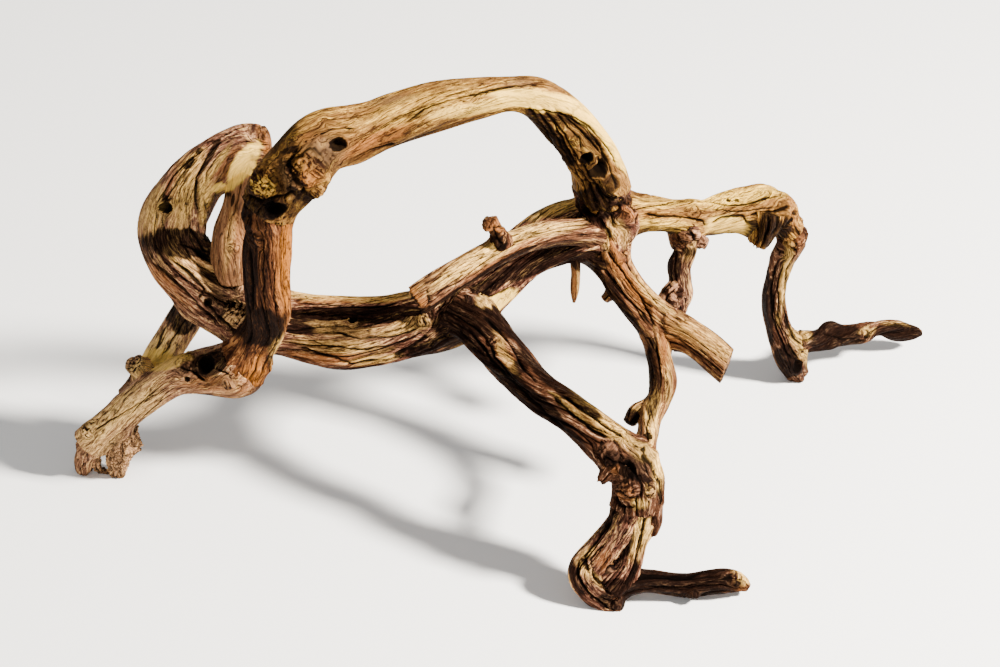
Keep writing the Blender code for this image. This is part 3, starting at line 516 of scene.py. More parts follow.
# Marks on the surface: kind, strength, pixels across and down, half width and height in pixels,
# and the lean of the patch in degrees.
SHARED_PATCH = (("peeled", 1.0, 244, 164, 30, 10, -57), ("peeled", 0.9, 224, 187, 13, 6, -15))
# The shade marks are painted shadow and shade where shadows fall on the piece. Most pale, peeled and
# ember marks are worn and stained wood; the few that are painted light say so.
MARKS = {
    "arch": (
        ("peeled", 0.8, 542, 101, 48, 11, 8), ("peeled", 0.8, 592, 121, 30, 9, 40),
        ("peeled", 0.8, 613, 147, 32, 7, 62), ("peeled", 0.35, 480, 108, 50, 7, -10),
        ("pale", 0.55, 500, 104, 60, 6, -8), ("pale", 0.25, 420, 106, 70, 14, -14),
        ("shade", 0.45, 410, 133, 76, 7, -20), ("grey", 0.6, 520, 84, 18, 6, 0),
        ("shade", 0.75, 554, 118, 34, 5, 12), ("flaky", 0.8, 262, 186, 14, 12, 0),
        ("grey", 0.9, 326, 150, 24, 18, 10), ("grey", 0.7, 440, 112, 20, 5, -8),
        ("grey", 0.6, 484, 105, 12, 5, 0), ("grey", 0.6, 392, 100, 26, 6, -12),
        ("ember", 0.9, 372, 144, 40, 9, -24), ("ember", 0.7, 312, 138, 14, 6, -6),
        ("shade", 0.55, 376, 150, 44, 5, -22), ("shade", 0.25, 420, 118, 80, 13, -18),
        ("ember", 0.9, 306, 170, 16, 20, 0), ("ember", 0.7, 262, 184, 20, 18, 0),
        ("shade", 0.6, 262, 190, 26, 24, 0), ("grey", 0.9, 292, 184, 8, 26, -28),
        ("shade", 0.45, 277, 168, 14, 16, 20), ("shade", 0.40, 322, 160, 20, 13, 20),
        ("shade", 0.6, 296, 206, 16, 10, -30), ("shade", 0.7, 608, 184, 10, 12, 30),
        ("shade", 0.32, 572, 150, 50, 18, 55),
        ("shade", 0.95, 304, 196, 18, 6, 30), ("shade", 0.8, 290, 150, 12, 4, -20),
        ("rough", 1.0, 578, 146, 48, 26, 55), ("rough", 0.9, 275, 190, 36, 34, 0),
        ("shade", 0.8, 262, 207, 26, 12, 0), ("shade", 0.5, 592, 176, 20, 16, 40),
        ("shade", 0.6, 286, 142, 10, 22, 30), ("shade", 0.85, 552, 138, 44, 8, 52),
        ("shade", 0.6, 556, 118, 16, 8, 40),
        ("shade", 0.9, 596, 198, 22, 12, 0), ("shade", 0.5, 584, 140, 34, 14, 52),
        ("shade", 1.0, 600, 168, 8, 8, 30), ("shade", 0.9, 586, 158, 5, 6, 30),
    ),
    "crotch": (
        ("shade", 1.0, 594, 206, 20, 14, 0), ("ember", 0.5, 612, 232, 10, 16, 0),
        ("shade", 1.0, 600, 176, 20, 15, 0),
        ("pale", 0.6, 616, 226, 8, 12, 0), ("pale", 0.5, 609, 236, 5, 18, 0),
        ("shade", 0.7, 610, 200, 22, 7, 0), ("rough", 1.0, 608, 212, 40, 36, 0),
        ("pale", 0.3, 622, 236, 8, 12, 0), ("ember", 0.8, 626, 212, 12, 12, 0),
    ),
    "post": (
        # The ember stripe down the right edge is a painted sunlit edge, with the stem wood's ember
        # colour; the shade marks on the left and lower part are painted shadow.
        ("ember", 1.0, 286, 262, 10, 60, 0), ("shade", 1.0, 248, 272, 10, 90, 0),
        ("shade", 0.95, 262, 326, 26, 20, -10), ("pale", 0.6, 280, 350, 10, 18, 15),
        ("ember", 0.6, 250, 376, 22, 14, -50), ("shade", 0.40, 262, 262, 8, 60, 0),
    ),
    "foot_limb": (
        ("pale", 0.8, 118, 414, 52, 14, -38), ("pale", 0.4, 100, 452, 30, 30, 0),
        ("peeled", 0.5, 170, 362, 26, 8, -12), ("shade", 1.0, 210, 364, 22, 12, -10),
        ("shade", 0.45, 212, 380, 34, 7, 4),
        ("pale", 0.6, 94, 424, 16, 10, -38), ("pale", 0.5, 150, 406, 20, 8, -38),
        ("ember", 0.7, 215, 384, 40, 9, 4), ("ember", 0.5, 186, 360, 10, 8, 0),
        ("ember", 0.5, 232, 384, 22, 12, -10),
    ),
    "twisted_trunk": (
        *SHARED_PATCH,
        ("pale", 0.9, 155, 210, 9, 24, 10), ("pale", 0.8, 184, 196, 13, 44, 12),
        ("pale", 0.7, 190, 166, 10, 20, 40), ("ember", 0.4, 176, 180, 8, 26, 30),
        ("pale", 0.9, 219, 160, 4, 26, 35), ("pale", 0.8, 205, 190, 4, 22, 10),
        ("shade", 0.95, 209, 157, 3.5, 26, 30), ("shade", 0.5, 198, 194, 2.5, 22, -3),
        ("pale", 1.0, 205, 198, 9, 30, 0), ("flaky", 0.35, 206, 202, 7, 22, 0),
        ("shade", 0.45, 229, 163, 4, 30, 34), ("ember", 0.6, 229, 163, 7, 30, 34),
        ("shade", 1.0, 166, 203, 3.5, 11, -10), ("shade", 0.95, 199, 151, 3, 4, 30),
        ("shade", 0.95, 191, 160, 3, 4, 30), ("shade", 0.9, 186, 166, 2.5, 3, 30),
        ("pale", 0.5, 178, 264, 26, 6, 45), ("ember", 0.4, 196, 158, 5, 14, 40),
        ("shade", 1.0, 182, 243, 44, 16, 6), ("ember", 0.6, 168, 286, 40, 7, 45),
        ("flaky", 0.8, 152, 214, 12, 22, 10), ("flaky", 0.5, 234, 312, 12, 14, 0),
        ("shade", 0.75, 214, 284, 20, 8, 45), ("shade", 0.6, 148, 246, 8, 20, 0),
        ("shade", 0.55, 164, 260, 12, 12, 20),
        ("pale", 0.3, 200, 278, 30, 8, 42), ("pale", 0.4, 218, 262, 20, 7, 40),
        ("ember", 1.0, 266, 144, 9, 24, -20), ("pale", 0.35, 200, 268, 40, 10, 32),
        ("shade", 0.5, 262, 134, 14, 8, 0),
        ("shade", 0.6, 226, 306, 24, 20, 30), ("ember", 0.4, 212, 196, 8, 30, 0),
    ),
    "inner_stem": (
        *SHARED_PATCH,
        ("pale", 0.3, 230, 236, 5, 34, 8), ("ember", 0.3, 236, 225, 10, 40, 0),
        ("shade", 0.9, 233, 200, 2, 7, 12), ("shade", 0.7, 226, 194, 6, 4, 0),
    ),
    "rear_leg": (
        # The pale and peeled marks on its lower part are partly worn wood and partly painted light,
        # brightening a place that lies in the lamp's shadow.
        ("shade", 1.0, 188, 312, 24, 14, -20), ("pale", 1.0, 158, 356, 20, 30, 35),
        ("shade", 0.95, 184, 322, 18, 12, -30), ("peeled", 0.75, 156, 362, 22, 14, 0),
        ("pale", 0.9, 160, 368, 26, 12, -10),
        ("ember", 0.3, 150, 372, 10, 14, 0),
    ),
    "rear_stub": (("flaky", 1.0, 137, 363, 9, 12, 0), ("pale", 0.9, 142, 368, 16, 18, 0)),
    "trunk": (
        ("ember", 0.6, 330, 358, 50, 8, 4), ("pale", 0.35, 346, 332, 34, 8, 0),
        ("grey", 0.35, 380, 340, 34, 8, -16), ("shade", 1.0, 458, 328, 26, 20, -20),
        ("peeled", 0.9, 498, 301, 20, 7, -30), ("flaky", 0.9, 422, 322, 12, 6, -15),
        ("shade", 0.95, 488, 286, 44, 8, -32), ("pale", 0.5, 340, 346, 44, 8, 4),
        ("pale", 0.6, 408, 327, 28, 7, -12),
        ("shade", 0.9, 430, 346, 26, 7, -22), ("shade", 1.0, 372, 319, 46, 5, 2),
        ("flaky", 0.6, 330, 325, 30, 4, 2), ("shade", 0.95, 540, 262, 52, 10, -26),
        ("shade", 0.8, 300, 328, 16, 8, 0), ("shade", 1.0, 578, 258, 30, 8, -10),
        ("shade", 1.0, 312, 322, 26, 5, 2), ("pale", 0.6, 372, 360, 26, 5, -8),
    ),
    "trunk_upper": (
        # The pale strips along its top near the left end are a painted highlight, and the shade below
        # them is painted shadow in the gap between the strands.
        ("ember", 0.8, 350, 299, 70, 5, 0), ("pale", 0.9, 350, 295, 86, 6, 0),
        ("pale", 0.85, 556, 208, 34, 7, -16), ("shade", 1.0, 360, 315, 100, 9, -2),
        ("shade", 1.0, 540, 246, 50, 12, -26), ("shade", 0.6, 590, 216, 16, 8, 0),
        ("shade", 0.9, 455, 300, 30, 12, -20), ("pale", 0.9, 378, 299, 24, 4, -3),
    ),
    "trunk_core": (("shade", 1.0, 360, 318, 90, 16, 0), ("shade", 0.9, 540, 230, 60, 20, -25)),
    "front_branch": (
        ("pale", 1.0, 478, 259, 66, 9, -31), ("pale", 0.8, 540, 231, 50, 6, -10),
        ("shade", 0.85, 500, 267, 40, 6, -32), ("ember", 1.0, 417, 302, 12, 16, -30),
        ("shade", 0.9, 458, 296, 42, 7, -32), ("shade", 0.6, 560, 246, 34, 6, -6),
        ("shade", 0.6, 562, 248, 30, 5, -12), ("shade", 0.85, 411, 304, 8, 12, -30),
        ("ember", 0.5, 500, 256, 60, 7, -28), ("shade", 0.8, 425, 312, 10, 5, -30),
    ),
    "front_branch_peg": (("ember", 0.7, 495, 230, 12, 16, 0), ("shade", 0.8, 493, 240, 10, 10, 0)),
    "down_limb": (
        ("ember", 0.8, 630, 282, 46, 9, 52), ("pale", 0.5, 652, 296, 34, 5, 48),
        ("shade", 0.8, 618, 300, 50, 6, 56), ("ember", 0.7, 612, 252, 12, 18, 0),
        ("shade", 0.95, 588, 260, 22, 12, 10), ("shade", 0.5, 596, 282, 8, 22, -30),
    ),
    "down_limb_web": (("shade", 1.0, 586, 262, 28, 16, 10), ("shade", 1.0, 578, 250, 18, 12, 0)),
    "spike": (
        ("ember", 0.6, 574, 282, 4, 24, 0), ("pale", 0.3, 578, 282, 2, 20, 0),
        ("shade", 0.9, 578, 262, 8, 10, 0),
    ),
    "cut_branch": (
        ("pale", 0.35, 706, 340, 40, 12, 32), ("ember", 0.6, 684, 336, 22, 14, 32),
        ("shade", 0.6, 696, 364, 30, 4, 36), ("shade", 0.35, 690, 342, 22, 8, 32),
    ),
    "thin_leg_stub": (("shade", 0.9, 631, 417, 9, 10, 0), ("pale", 0.5, 636, 409, 8, 4, -20)),
    "thin_leg": (
        ("shade", 0.75, 653, 378, 8, 46, 0), ("pale", 0.4, 669, 380, 4, 30, 0),
        ("pale", 0.8, 653, 416, 8, 26, 5), ("ember", 0.6, 664, 352, 10, 20, 0),
        ("shade", 0.4, 662, 396, 12, 8, 0), ("shade", 0.5, 664, 390, 7, 14, 0),
    ),
    "right_limb": (
        ("pale", 0.8, 740, 196, 60, 9, -8), ("pale", 0.6, 660, 224, 34, 7, 2),
        ("grey", 0.5, 726, 226, 24, 12, 0), ("shade", 1.0, 768, 228, 26, 16, 0),
        ("shade", 0.6, 655, 230, 30, 5, 0), ("ember", 0.4, 660, 216, 30, 6, 0),
        ("peeled", 0.50, 727, 226, 23, 11, 0), ("grey", 0.7, 727, 226, 26, 14, 0),
        ("ember", 0.4, 790, 214, 8, 24, 0), ("pale", 0.4, 660, 203, 34, 6, 0),
        ("rough", 0.8, 784, 214, 14, 22, 0),
    ),
    "bark_slab": (
        ("shade", 0.95, 770, 232, 13, 24, 0), ("ember", 0.7, 756, 232, 8, 20, 0),
        ("shade", 0.5, 760, 236, 16, 18, 0),
        ("pale", 0.35, 754, 228, 4, 14, 0),
    ),
    "right_leg": (
        ("pale", 0.6, 785, 280, 6, 44, 8), ("shade", 0.9, 766, 300, 7, 60, -4),
        ("pale", 0.5, 800, 346, 8, 20, -30), ("shade", 0.9, 784, 360, 14, 16, 0),
        ("shade", 0.8, 790, 370, 14, 8, 0),
        ("ember", 0.5, 796, 240, 10, 10, 0),
    ),
    "twig": (
        ("shade", 1.0, 836, 340, 28, 24, 0), ("flaky", 0.9, 868, 331, 9, 6, -20),
        ("pale", 0.7, 806, 336, 8, 6, 0),
        ("shade", 1.0, 900, 336, 30, 12, 0), ("pale", 0.3, 895, 324, 20, 3, 8),
    ),
    "hanging_branch": (
        ("shade", 0.8, 674, 266, 8, 22, 0), ("grey", 0.6, 686, 284, 6, 20, 0),
        ("shade", 0.4, 682, 260, 14, 34, 0),
        ("shade", 0.7, 690, 252, 8, 5, 0),
        ("pale", 0.4, 692, 250, 6, 14, 30), ("ember", 0.4, 682, 240, 10, 10, 0),
    ),
    "front_leg": (
        ("pale", 0.4, 506, 356, 26, 5, 60), ("pale", 0.6, 574, 412, 26, 4, 40),
        ("shade", 1.0, 522, 334, 80, 12, 44), ("shade", 0.8, 500, 372, 60, 8, 46),
        ("shade", 1.0, 560, 384, 60, 9, 40), ("shade", 1.0, 460, 322, 26, 22, 30),
        ("flaky", 0.6, 503, 350, 20, 5, 66), ("ember", 0.5, 505, 352, 22, 8, 66),
        ("flaky", 0.9, 574, 412, 24, 3, 41), ("pale", 0.9, 592, 408, 24, 7, 38),
        ("flaky", 1.0, 488, 296, 14, 12, -30), ("shade", 0.7, 520, 366, 8, 30, 44),
        ("ember", 0.6, 592, 416, 44, 9, 38), ("pale", 0.75, 606, 424, 44, 9, 38),
        ("shade", 0.9, 536, 402, 60, 9, 42), ("shade", 0.7, 480, 320, 26, 14, 40),
        ("grey", 0.4, 642, 462, 12, 20, -30), ("pale", 1.0, 659, 467, 7, 24, 0),
        ("pale", 0.5, 644, 454, 14, 8, 20), ("pale", 0.4, 650, 490, 6, 6, 0),
        ("shade", 0.6, 634, 466, 17, 9, 35), ("ember", 0.4, 612, 470, 10, 6, 0),
        ("pale", 0.6, 640, 504, 8, 6, 0),
        ("shade", 0.7, 612, 456, 9, 8, 0), ("ember", 0.8, 628, 491, 9, 9, 0),
        ("shade", 0.9, 640, 478, 14, 4, 10),
    ),
    "front_foot": (
        ("shade", 0.7, 576, 578, 5, 22, -20), ("pale", 0.6, 590, 574, 5, 20, -45),
        ("shade", 0.95, 585, 564, 2.5, 8, -30), ("pale", 0.5, 588, 553, 10, 5, -40),
        ("peeled", 0.9, 604, 577, 4, 2.5, -10), ("shade", 0.8, 606, 516, 9, 22, 35),
        ("shade", 1.0, 618, 594, 22, 14, -30), ("shade", 0.6, 606, 520, 12, 18, 40),
        ("ember", 0.4, 604, 560, 10, 16, -30), ("shade", 0.4, 598, 580, 12, 12, 0),
    ),
    "front_foot_rib": (
        ("pale", 0.9, 641, 526, 9, 34, 10), ("ember", 0.4, 634, 540, 8, 24, 10),
        ("shade", 1.0, 614, 592, 20, 14, 0), ("shade", 0.9, 626, 544, 7, 20, 20),
    ),
    "front_foot_web": (("shade", 0.9, 618, 548, 12, 20, 10), ("shade", 0.9, 614, 588, 20, 16, 0)),
    "foot_branch": (
        ("shade", 1.0, 672, 582, 70, 24, 0), ("pale", 0.9, 741, 577, 11, 7, 30),
        ("ember", 0.5, 740, 584, 12, 8, 0),
    ),
}

KINDS = ("pale", "ember", "grey", "shade", "peeled", "rough", "flaky")

# How ragged a mark's edge is, and where it starts and stops to fade, as shares of its size.
SOFT_EDGE = (0.60, 0.45, 1.30)
EDGES = {"shade": (0.35, 0.78, 1.14), "peeled": (0.35, 0.82, 1.12), "flaky": (1.0, 0.70, 1.12)}

# Noise in the grain: its seed, then its size in millimetres across the grain both ways and along.
WARPS = ((1, 16, 16, 40), (2, 16, 16, 40))
COARSE = (3, 7.5, 7.5, 75)
MIDDLE = (4, 2.6, 2.6, 40)
NARROW = (5, 1.3, 1.3, 20)
END_CRACKS = (12, 5, 5, 9)
END_FIBRES = (13, 2.2, 2.2, 30)
TONE = (30, 5.5, 5.5, 110)
UNDERSIDE_SHADE = (31, 6, 6, 60)
RAGGED = (40, 5, 5, 34)
FRAYED = (41, 1.5, 1.5, 16)
CREASE = (62, 6, 6, 45)

# Lumps that are alike in every direction: their seed and their size in millimetres.
CRUMBS_LARGE = (8, 3.3)
CRUMBS_SMALL = (9, 1.6)
KNOT_WOBBLE = (50, 8)
KNOT_SHIVER = (51, 2.5)
LINE_WANDER = (60, 13)
LINE_SHIVER = (61, 3.5)

# Grooves along the grain: the first of their three seeds, millimetres from one to the next, and
# how sharp they are.
GAPS = (20, 10.5, 40)
SEAMS = (24, 4.4, 14)
CHECKS = (28, 7.5, 70)
# How grooves drift and waver along the grain, in millimetres and in radians.
DRIFT = (9, 9, 85)
DRIFT_TURN = 2.6
WAVER = (4, 4, 26)
WAVER_TURN = 0.9

# How far the grain wanders off in millimetres, how far along it one limb's pattern starts from
# another's, and the turn of a knot's rings for each millimetre outward in radians.
WARP_REACH = 2.4
GRAIN_START = 37.0
GRAIN_STARTS = 29
RINGS_PER_MM = 3.6

# Where marks fade out round a limb's side, from turned away to facing the view.
FACING = (-0.25, 0.15)

# Random slopes of the noise, the large odd numbers that pick one for each cell, the noise's
# strength, and how many seeds the limbs share out.
GRADIENTS = np.random.default_rng(11).normal(size=(1024, 3))
GRADIENTS /= np.linalg.norm(GRADIENTS, axis=1)[:, None]
CELL_KEYS = (73856093, 19349663, 83492791)
SEED_KEY = 668265263
NOISE_STRENGTH = 1.7
LIMB_SEEDS = 997


def noise(points, seed):
    """Smooth gradient noise, from about -1 to 1, at points of any shape."""
    cell = np.floor(points).astype(np.int64)
    inside = points - cell
    ease = inside**3 * (inside * (inside * 6 - 15) + 10)
    total = np.zeros(points.shape[:-1])
    for corner in np.ndindex(2, 2, 2):
        keys = (cell + corner) * CELL_KEYS
        pick = keys[..., 0] ^ keys[..., 1] ^ keys[..., 2] ^ (seed * SEED_KEY)
        slope = GRADIENTS[pick % len(GRADIENTS)]
        weight = np.prod(np.where(corner, ease, 1 - ease), axis=-1)
        total += (slope * (inside - corner)).sum(axis=-1) * weight
    return total * NOISE_STRENGTH


def step_between(low, high, value):
    """Rises smoothly from 0 to 1 as value goes from low to high."""
    t = np.clip((value - low) / (high - low), 0.0, 1.0)
    return t * t * (3 - 2 * t)


def seen_at(across, down, back):
    """The point in space that is seen at a pixel, at a distance back in millimetres."""
    right = (across - VIEW_MIDDLE[0]) / VIEW_FOCAL
    up = (VIEW_MIDDLE[1] - down) / VIEW_FOCAL
    sine = math.sin(VIEW_ELEVATION)
    cosine = math.cos(VIEW_ELEVATION)
    reach = (back * MM + VIEW_DISTANCE * cosine) / (cosine + up * sine)
    height = VIEW_TARGET_HEIGHT + VIEW_DISTANCE * sine + reach * (up * cosine - sine)
    return np.array((reach * right, back * MM, height))


def to_pixels(points):
    """Where points are seen, in pixels across and down."""
    sine = math.sin(VIEW_ELEVATION)
    cosine = math.cos(VIEW_ELEVATION)
    high = points[..., 2] - VIEW_TARGET_HEIGHT
    reach = VIEW_DISTANCE + points[..., 1] * cosine - high * sine
    across = VIEW_MIDDLE[0] + VIEW_FOCAL * points[..., 0] / reach
    down = VIEW_MIDDLE[1] - VIEW_FOCAL * (points[..., 1] * sine + high * cosine) / reach
    return np.stack((across, down), axis=-1)


def smooth_path(path, step):
    """Evenly spaced points and half thicknesses along a smooth curve through a path."""
    knots = np.array([(*seen_at(a, d, b), r * MM) for a, d, b, r in path])
    knots = np.vstack((2 * knots[0] - knots[1], knots, 2 * knots[-1] - knots[-2]))
    t = np.linspace(0.0, 1.0, CURVE_PARTS, endpoint=False)[:, None]
    pieces = []
    for a, b, c, d in zip(knots, knots[1:], knots[2:], knots[3:]):
        bend = 2 * a - 5 * b + 4 * c - d
        pieces.append(0.5 * (2 * b + (c - a) * t + bend * t**2 + (3 * b - a - 3 * c + d) * t**3))
    fine = np.vstack((*pieces, knots[-2][None]))
    run = np.concatenate(([0.0], np.cumsum(np.linalg.norm(np.diff(fine[:, :3], axis=0), axis=1))))
    count = max(3, round(run[-1] / step) + 1)
    even = np.linspace(0.0, run[-1], count)
    return np.stack([np.interp(even, run, fine[:, i]) for i in range(4)], axis=1), even


def frames(centres):
    """Directions along, across and out at each point, carried along without twisting."""
    along = np.gradient(centres, axis=0)
    along /= np.linalg.norm(along, axis=1)[:, None]
    out = TO_EYE
    outs = []
    for direction in along:
        out = out - direction * (out @ direction)
        out /= np.linalg.norm(out)
        outs.append(out)
    outs = np.array(outs)
    return along, np.cross(along, outs), outs


def end_rows(kind, radius):
    """How far in and how far forward each row of a limb's end is, as shares of its radius."""
    if kind == "hidden":
        return np.array((0.0,)), np.array((0.0,))
    if kind == "round":
        count = max(5, round(radius * 1.2 / ROW_STEP))
        turn = np.linspace(0.0, math.pi / 2, count + 1)[1:]
        return np.cos(turn), 0.45 * np.sin(turn)
    count = max(5, round(radius / (0.8 * ROW_STEP)))
    inward = np.linspace(1.0, 0.0, count + 1)[1:]
    return inward, np.where(inward > 0.9, 0.02, 0.03)


class Strand:
    """The finely divided surface of one limb, as rows of points round its path."""

    def __init__(self, name):
        self.name = name
        self.relief, start, end = STRANDS[name]
        rows, run = smooth_path(PATHS[name], ROW_STEP * MM)
        run = run / MM
        along, across, outs = frames(rows[:, :3])
        radii = rows[:, 3] / MM
        sides = int(2 * math.pi * radii.max() / AROUND_STEP)
        first, first_out = end_rows(start, radii[0])
        last, last_out = end_rows(end, radii[-1])
        middle = np.zeros(len(run))
        pick = np.concatenate((np.zeros(len(first), int), np.arange(len(run)),
                               np.full(len(last), len(run) - 1)))
        forward = np.concatenate((-first_out[::-1] * radii[0], middle, last_out * radii[-1]))
        self.shrink = np.concatenate((first[::-1], middle + 1, last))
        self.cap = np.concatenate((np.full(len(first), float(start in FLAT_ENDS)), middle,
                                   np.full(len(last), float(end in FLAT_ENDS))))
        self.torn = end == "torn"
        self.run = run[pick] + forward
        self.radius = radii[pick]
        self.along = along[pick]
        self.angle = np.arange(sides) * 2 * math.pi / sides
        self.out = (np.cos(self.angle)[None, :, None] * outs[pick][:, None]
                    + np.sin(self.angle)[None, :, None] * across[pick][:, None])
        count, depth, phase, self.twist = RIBS.get(name, PLAIN_RIBS)
        turned = self.angle[None, :] + self.run[:, None] * self.twist
        rib = 1 + depth * np.cos(count * turned + phase)
        low_count, low_share = LOW_RIBS
        rib += low_share * depth * np.cos(low_count * turned + 2 * phase)
        reach = self.radius[:, None] * rib * self.shrink[:, None]
        centre = rows[pick, :3] + self.along * (forward * MM)[:, None]
        self.base = centre[:, None] + self.out * (reach * MM)[..., None]
        self.shape = reach.shape
        self.pixels = to_pixels(self.base)
        self.facing = step_between(*FACING, self.out @ TO_EYE)
        self.seed = 1 + sum(ord(c) * (i + 1) for i, c in enumerate(name)) % LIMB_SEEDS

    def grained(self, grain, kind):
        """Noise that is drawn out along the grain."""
        seed, *size = kind
        return noise(grain / size, self.seed + seed)

    def lumpy(self, kind):
        """Noise that is alike in every direction."""
        seed, size = kind
        return noise(self.base / (size * MM), self.seed + seed)

    def nearest(self, across, down):
        """The row and the place round it that are seen nearest to a pixel."""
        away = np.hypot(self.pixels[..., 0] - across, self.pixels[..., 1] - down)
        away = away + FAR * (self.facing < 0.6)
        return np.unravel_index(np.argmin(away), away.shape)

    def around(self, row, side):
        """Millimetres along and round from one place on the surface to every other."""
        turn = self.angle - self.angle[side]
        turn = (turn + math.pi) % (2 * math.pi) - math.pi
        return self.run[:, None] - self.run[row], turn[None, :] * self.radius[:, None]

    def marks(self, grain):
        """How strongly each kind of mark shows at every point, with edges torn by the grain."""
        ragged = self.grained(grain, RAGGED) * 0.55 + self.grained(grain, FRAYED) * 0.35
        amount = {kind: np.zeros(self.shape) for kind in KINDS}
        for kind, strength, across, down, wide, high, lean in MARKS.get(self.name, ()):
            tilt = math.radians(lean)
            x = self.pixels[..., 0] - across
            y = self.pixels[..., 1] - down
            u = (x * math.cos(tilt) + y * math.sin(tilt)) / wide
            v = (y * math.cos(tilt) - x * math.sin(tilt)) / high
            torn, inner, outer = EDGES.get(kind, SOFT_EDGE)
            edge = 1 - step_between(inner, outer, np.hypot(u, v) + ragged * torn)
            amount[kind] = np.maximum(amount[kind], edge * strength * self.facing)
        return amount

    def knots(self):
        """Relief of the knots and holes, how the grain bends round them, and their crumbs."""
        height, bend, crumbs, hollow, rings = np.zeros((5, *self.shape))
        wobble = 1 + 0.30 * self.lumpy(KNOT_WOBBLE) + 0.12 * self.lumpy(KNOT_SHIVER)
        for kind, across, down, radius, high in KNOTS.get(self.name, ()):
            u, v = self.around(*self.nearest(across, down))
            r = np.hypot(u, v) * wobble / radius
            outside = np.where(r > 1, 1 / np.maximum(r, 1e-3) ** 2, np.minimum(r, 1.0))
            bend -= v * outside * np.exp(-np.maximum(r - 1, 0) / 1.6) / self.radius[:, None]
            collar = np.exp(-(((r - 1.12) / 0.22) ** 2))
            moat = np.exp(-(((r - 0.92) / 0.13) ** 2))
            inner = 1 - step_between(0.75, 1.0, r)
            if kind == "hole":
                height += 0.22 * high * collar - high * (1 - step_between(0.35, 1.05, r))
                hollow = np.maximum(hollow, 1 - step_between(0.90, 1.16, r))
                continue
            if kind == "stub":
                height += high * (1 - step_between(0.82, 1.1, r)) + 0.2 * high * collar
            else:
                height += high * np.exp(-((r / 0.85) ** 2)) + 0.18 * high * collar
            height -= min(1.6, 0.3 * high) * moat
            hollow = np.maximum(hollow, 0.6 * moat * min(1.0, high / 3.0))
            if kind == "ring":
                circles = np.cos(r * radius * RINGS_PER_MM)
                rings = np.maximum(rings, inner * (0.5 + 0.5 * circles))
                height += 0.35 * inner * circles
            else:
                crumbs = np.maximum(crumbs, inner)
        return height, bend, crumbs, hollow, rings

    def lines(self, grain):
        """Relief of the creases and ridges that are drawn along the surface."""
        height, hollow = np.zeros((2, *self.shape))
        wander = self.lumpy(LINE_WANDER) + self.lumpy(LINE_SHIVER) * 0.45
        uneven = 0.90 + 0.35 * self.grained(grain, CREASE)
        for high, width, *points in LINES.get(self.name, ()):
            nearest = np.full(self.shape, FAR)
            signed, ends = np.zeros((2, *self.shape))
            total = len(points) - 1
            for i, (a, b) in enumerate(zip(points, points[1:])):
                a = np.array(a, float)
                way = np.array(b, float) - a
                off = self.pixels - a
                t = np.clip((off @ way) / (way @ way), 0.0, 1.0)
                away = np.linalg.norm(off - t[..., None] * way, axis=-1)
                side = np.sign(off[..., 0] * way[1] - off[..., 1] * way[0])
                ends = np.where(away < nearest, (i + t) / total, ends)
                signed = np.where(away < nearest, away * side, signed)
                nearest = np.minimum(nearest, away)
            fade = np.clip(np.minimum(ends, 1 - ends) * 8, 0.25, 1.0) * self.facing
            off_line = (signed * MM_PER_PIXEL + wander) / (width * uneven)
            shape = np.exp(-(off_line**2)) * fade * uneven
            height += high * shape
            if high < 0:
                hollow = np.maximum(hollow, shape * min(1.0, -high / 2.0))
        return height, hollow

    def fillet(self):
        """Swells the surface towards the strands that it grows into."""
        push = np.zeros(self.shape)
        if self.name in LOOSE:
            return push
        low = self.base.min(axis=(0, 1)) - FILLET * MM
        high = self.base.max(axis=(0, 1)) + FILLET * MM
        for name, (centres, radii) in SKELETONS.items():
            if name == self.name:
                continue
            near = ((centres + radii[:, None] > low) & (centres - radii[:, None] < high)).all(axis=1)
            if not near.any():
                continue
            away = np.full(self.shape, 1.0)
            for centre, radius in zip(centres[near], radii[near]):
                gap = np.linalg.norm(self.base - centre, axis=-1) - radius
                away = np.minimum(away, gap)
            blend = FILLET * min(1.0, radii[near].max() / (THICK * MM), self.radius.max() / THICK)
            ease = np.clip(1 - np.abs(away) / (blend * MM), 0.0, 1.0)
            push = np.maximum(push, blend / 4 * ease**2 * 1.4)
        return push

    def grooves(self, grain, turned, kind):
        """Long grooves that run with the grain and open and close along their length."""
        seed, spacing, sharp = kind
        count = max(3, round(2 * math.pi * np.median(self.radius) / spacing))
        phase = count * turned + DRIFT_TURN * self.grained(grain, (seed, *DRIFT))
        phase += WAVER_TURN * self.grained(grain, (seed + 1, *WAVER))
        patches = self.grained(grain, (seed + 2, spacing * 1.5, spacing * 1.5, spacing * 14))
        wave = 0.5 + 0.5 * np.cos(phase)
        return wave**sharp * step_between(-0.40, 0.25, patches), 1 - wave

    def along_grain(self, bend):
        """The turn round the limb at every point, and its place in the grain."""
        turned = self.angle[None, :] + self.run[:, None] * self.twist + bend
        radius = self.radius[:, None] * self.shrink[:, None]
        grain = np.stack((radius * np.cos(turned), radius * np.sin(turned),
                          np.broadcast_to(self.run[:, None], turned.shape)), axis=-1)
        warp = np.stack([self.grained(grain, kind) for kind in WARPS], axis=-1)
        grain[..., :2] += warp * WARP_REACH
        return turned, grain

    def shaded(self, grain, amount):
        """How dark the painted shadow is: the shade marks, and painted shade on the sides that face
        down.
        """
        # Painted shade on the sides that face down, as if they lay in the shadow under each limb.
        underside_shade = step_between(0.15, 0.85, -self.out[..., 2])
        underside_shade *= 0.65 + 0.5 * self.grained(grain, UNDERSIDE_SHADE)
        # The shade marks are painted shadow; flaky and peeled places cut it back.
        shadow_marks = amount["shade"] * (1 - 0.85 * amount["flaky"])
        shade = np.maximum(shadow_marks, np.clip(underside_shade, 0, 0.75))
        return shade * (1 - 0.9 * amount["peeled"])

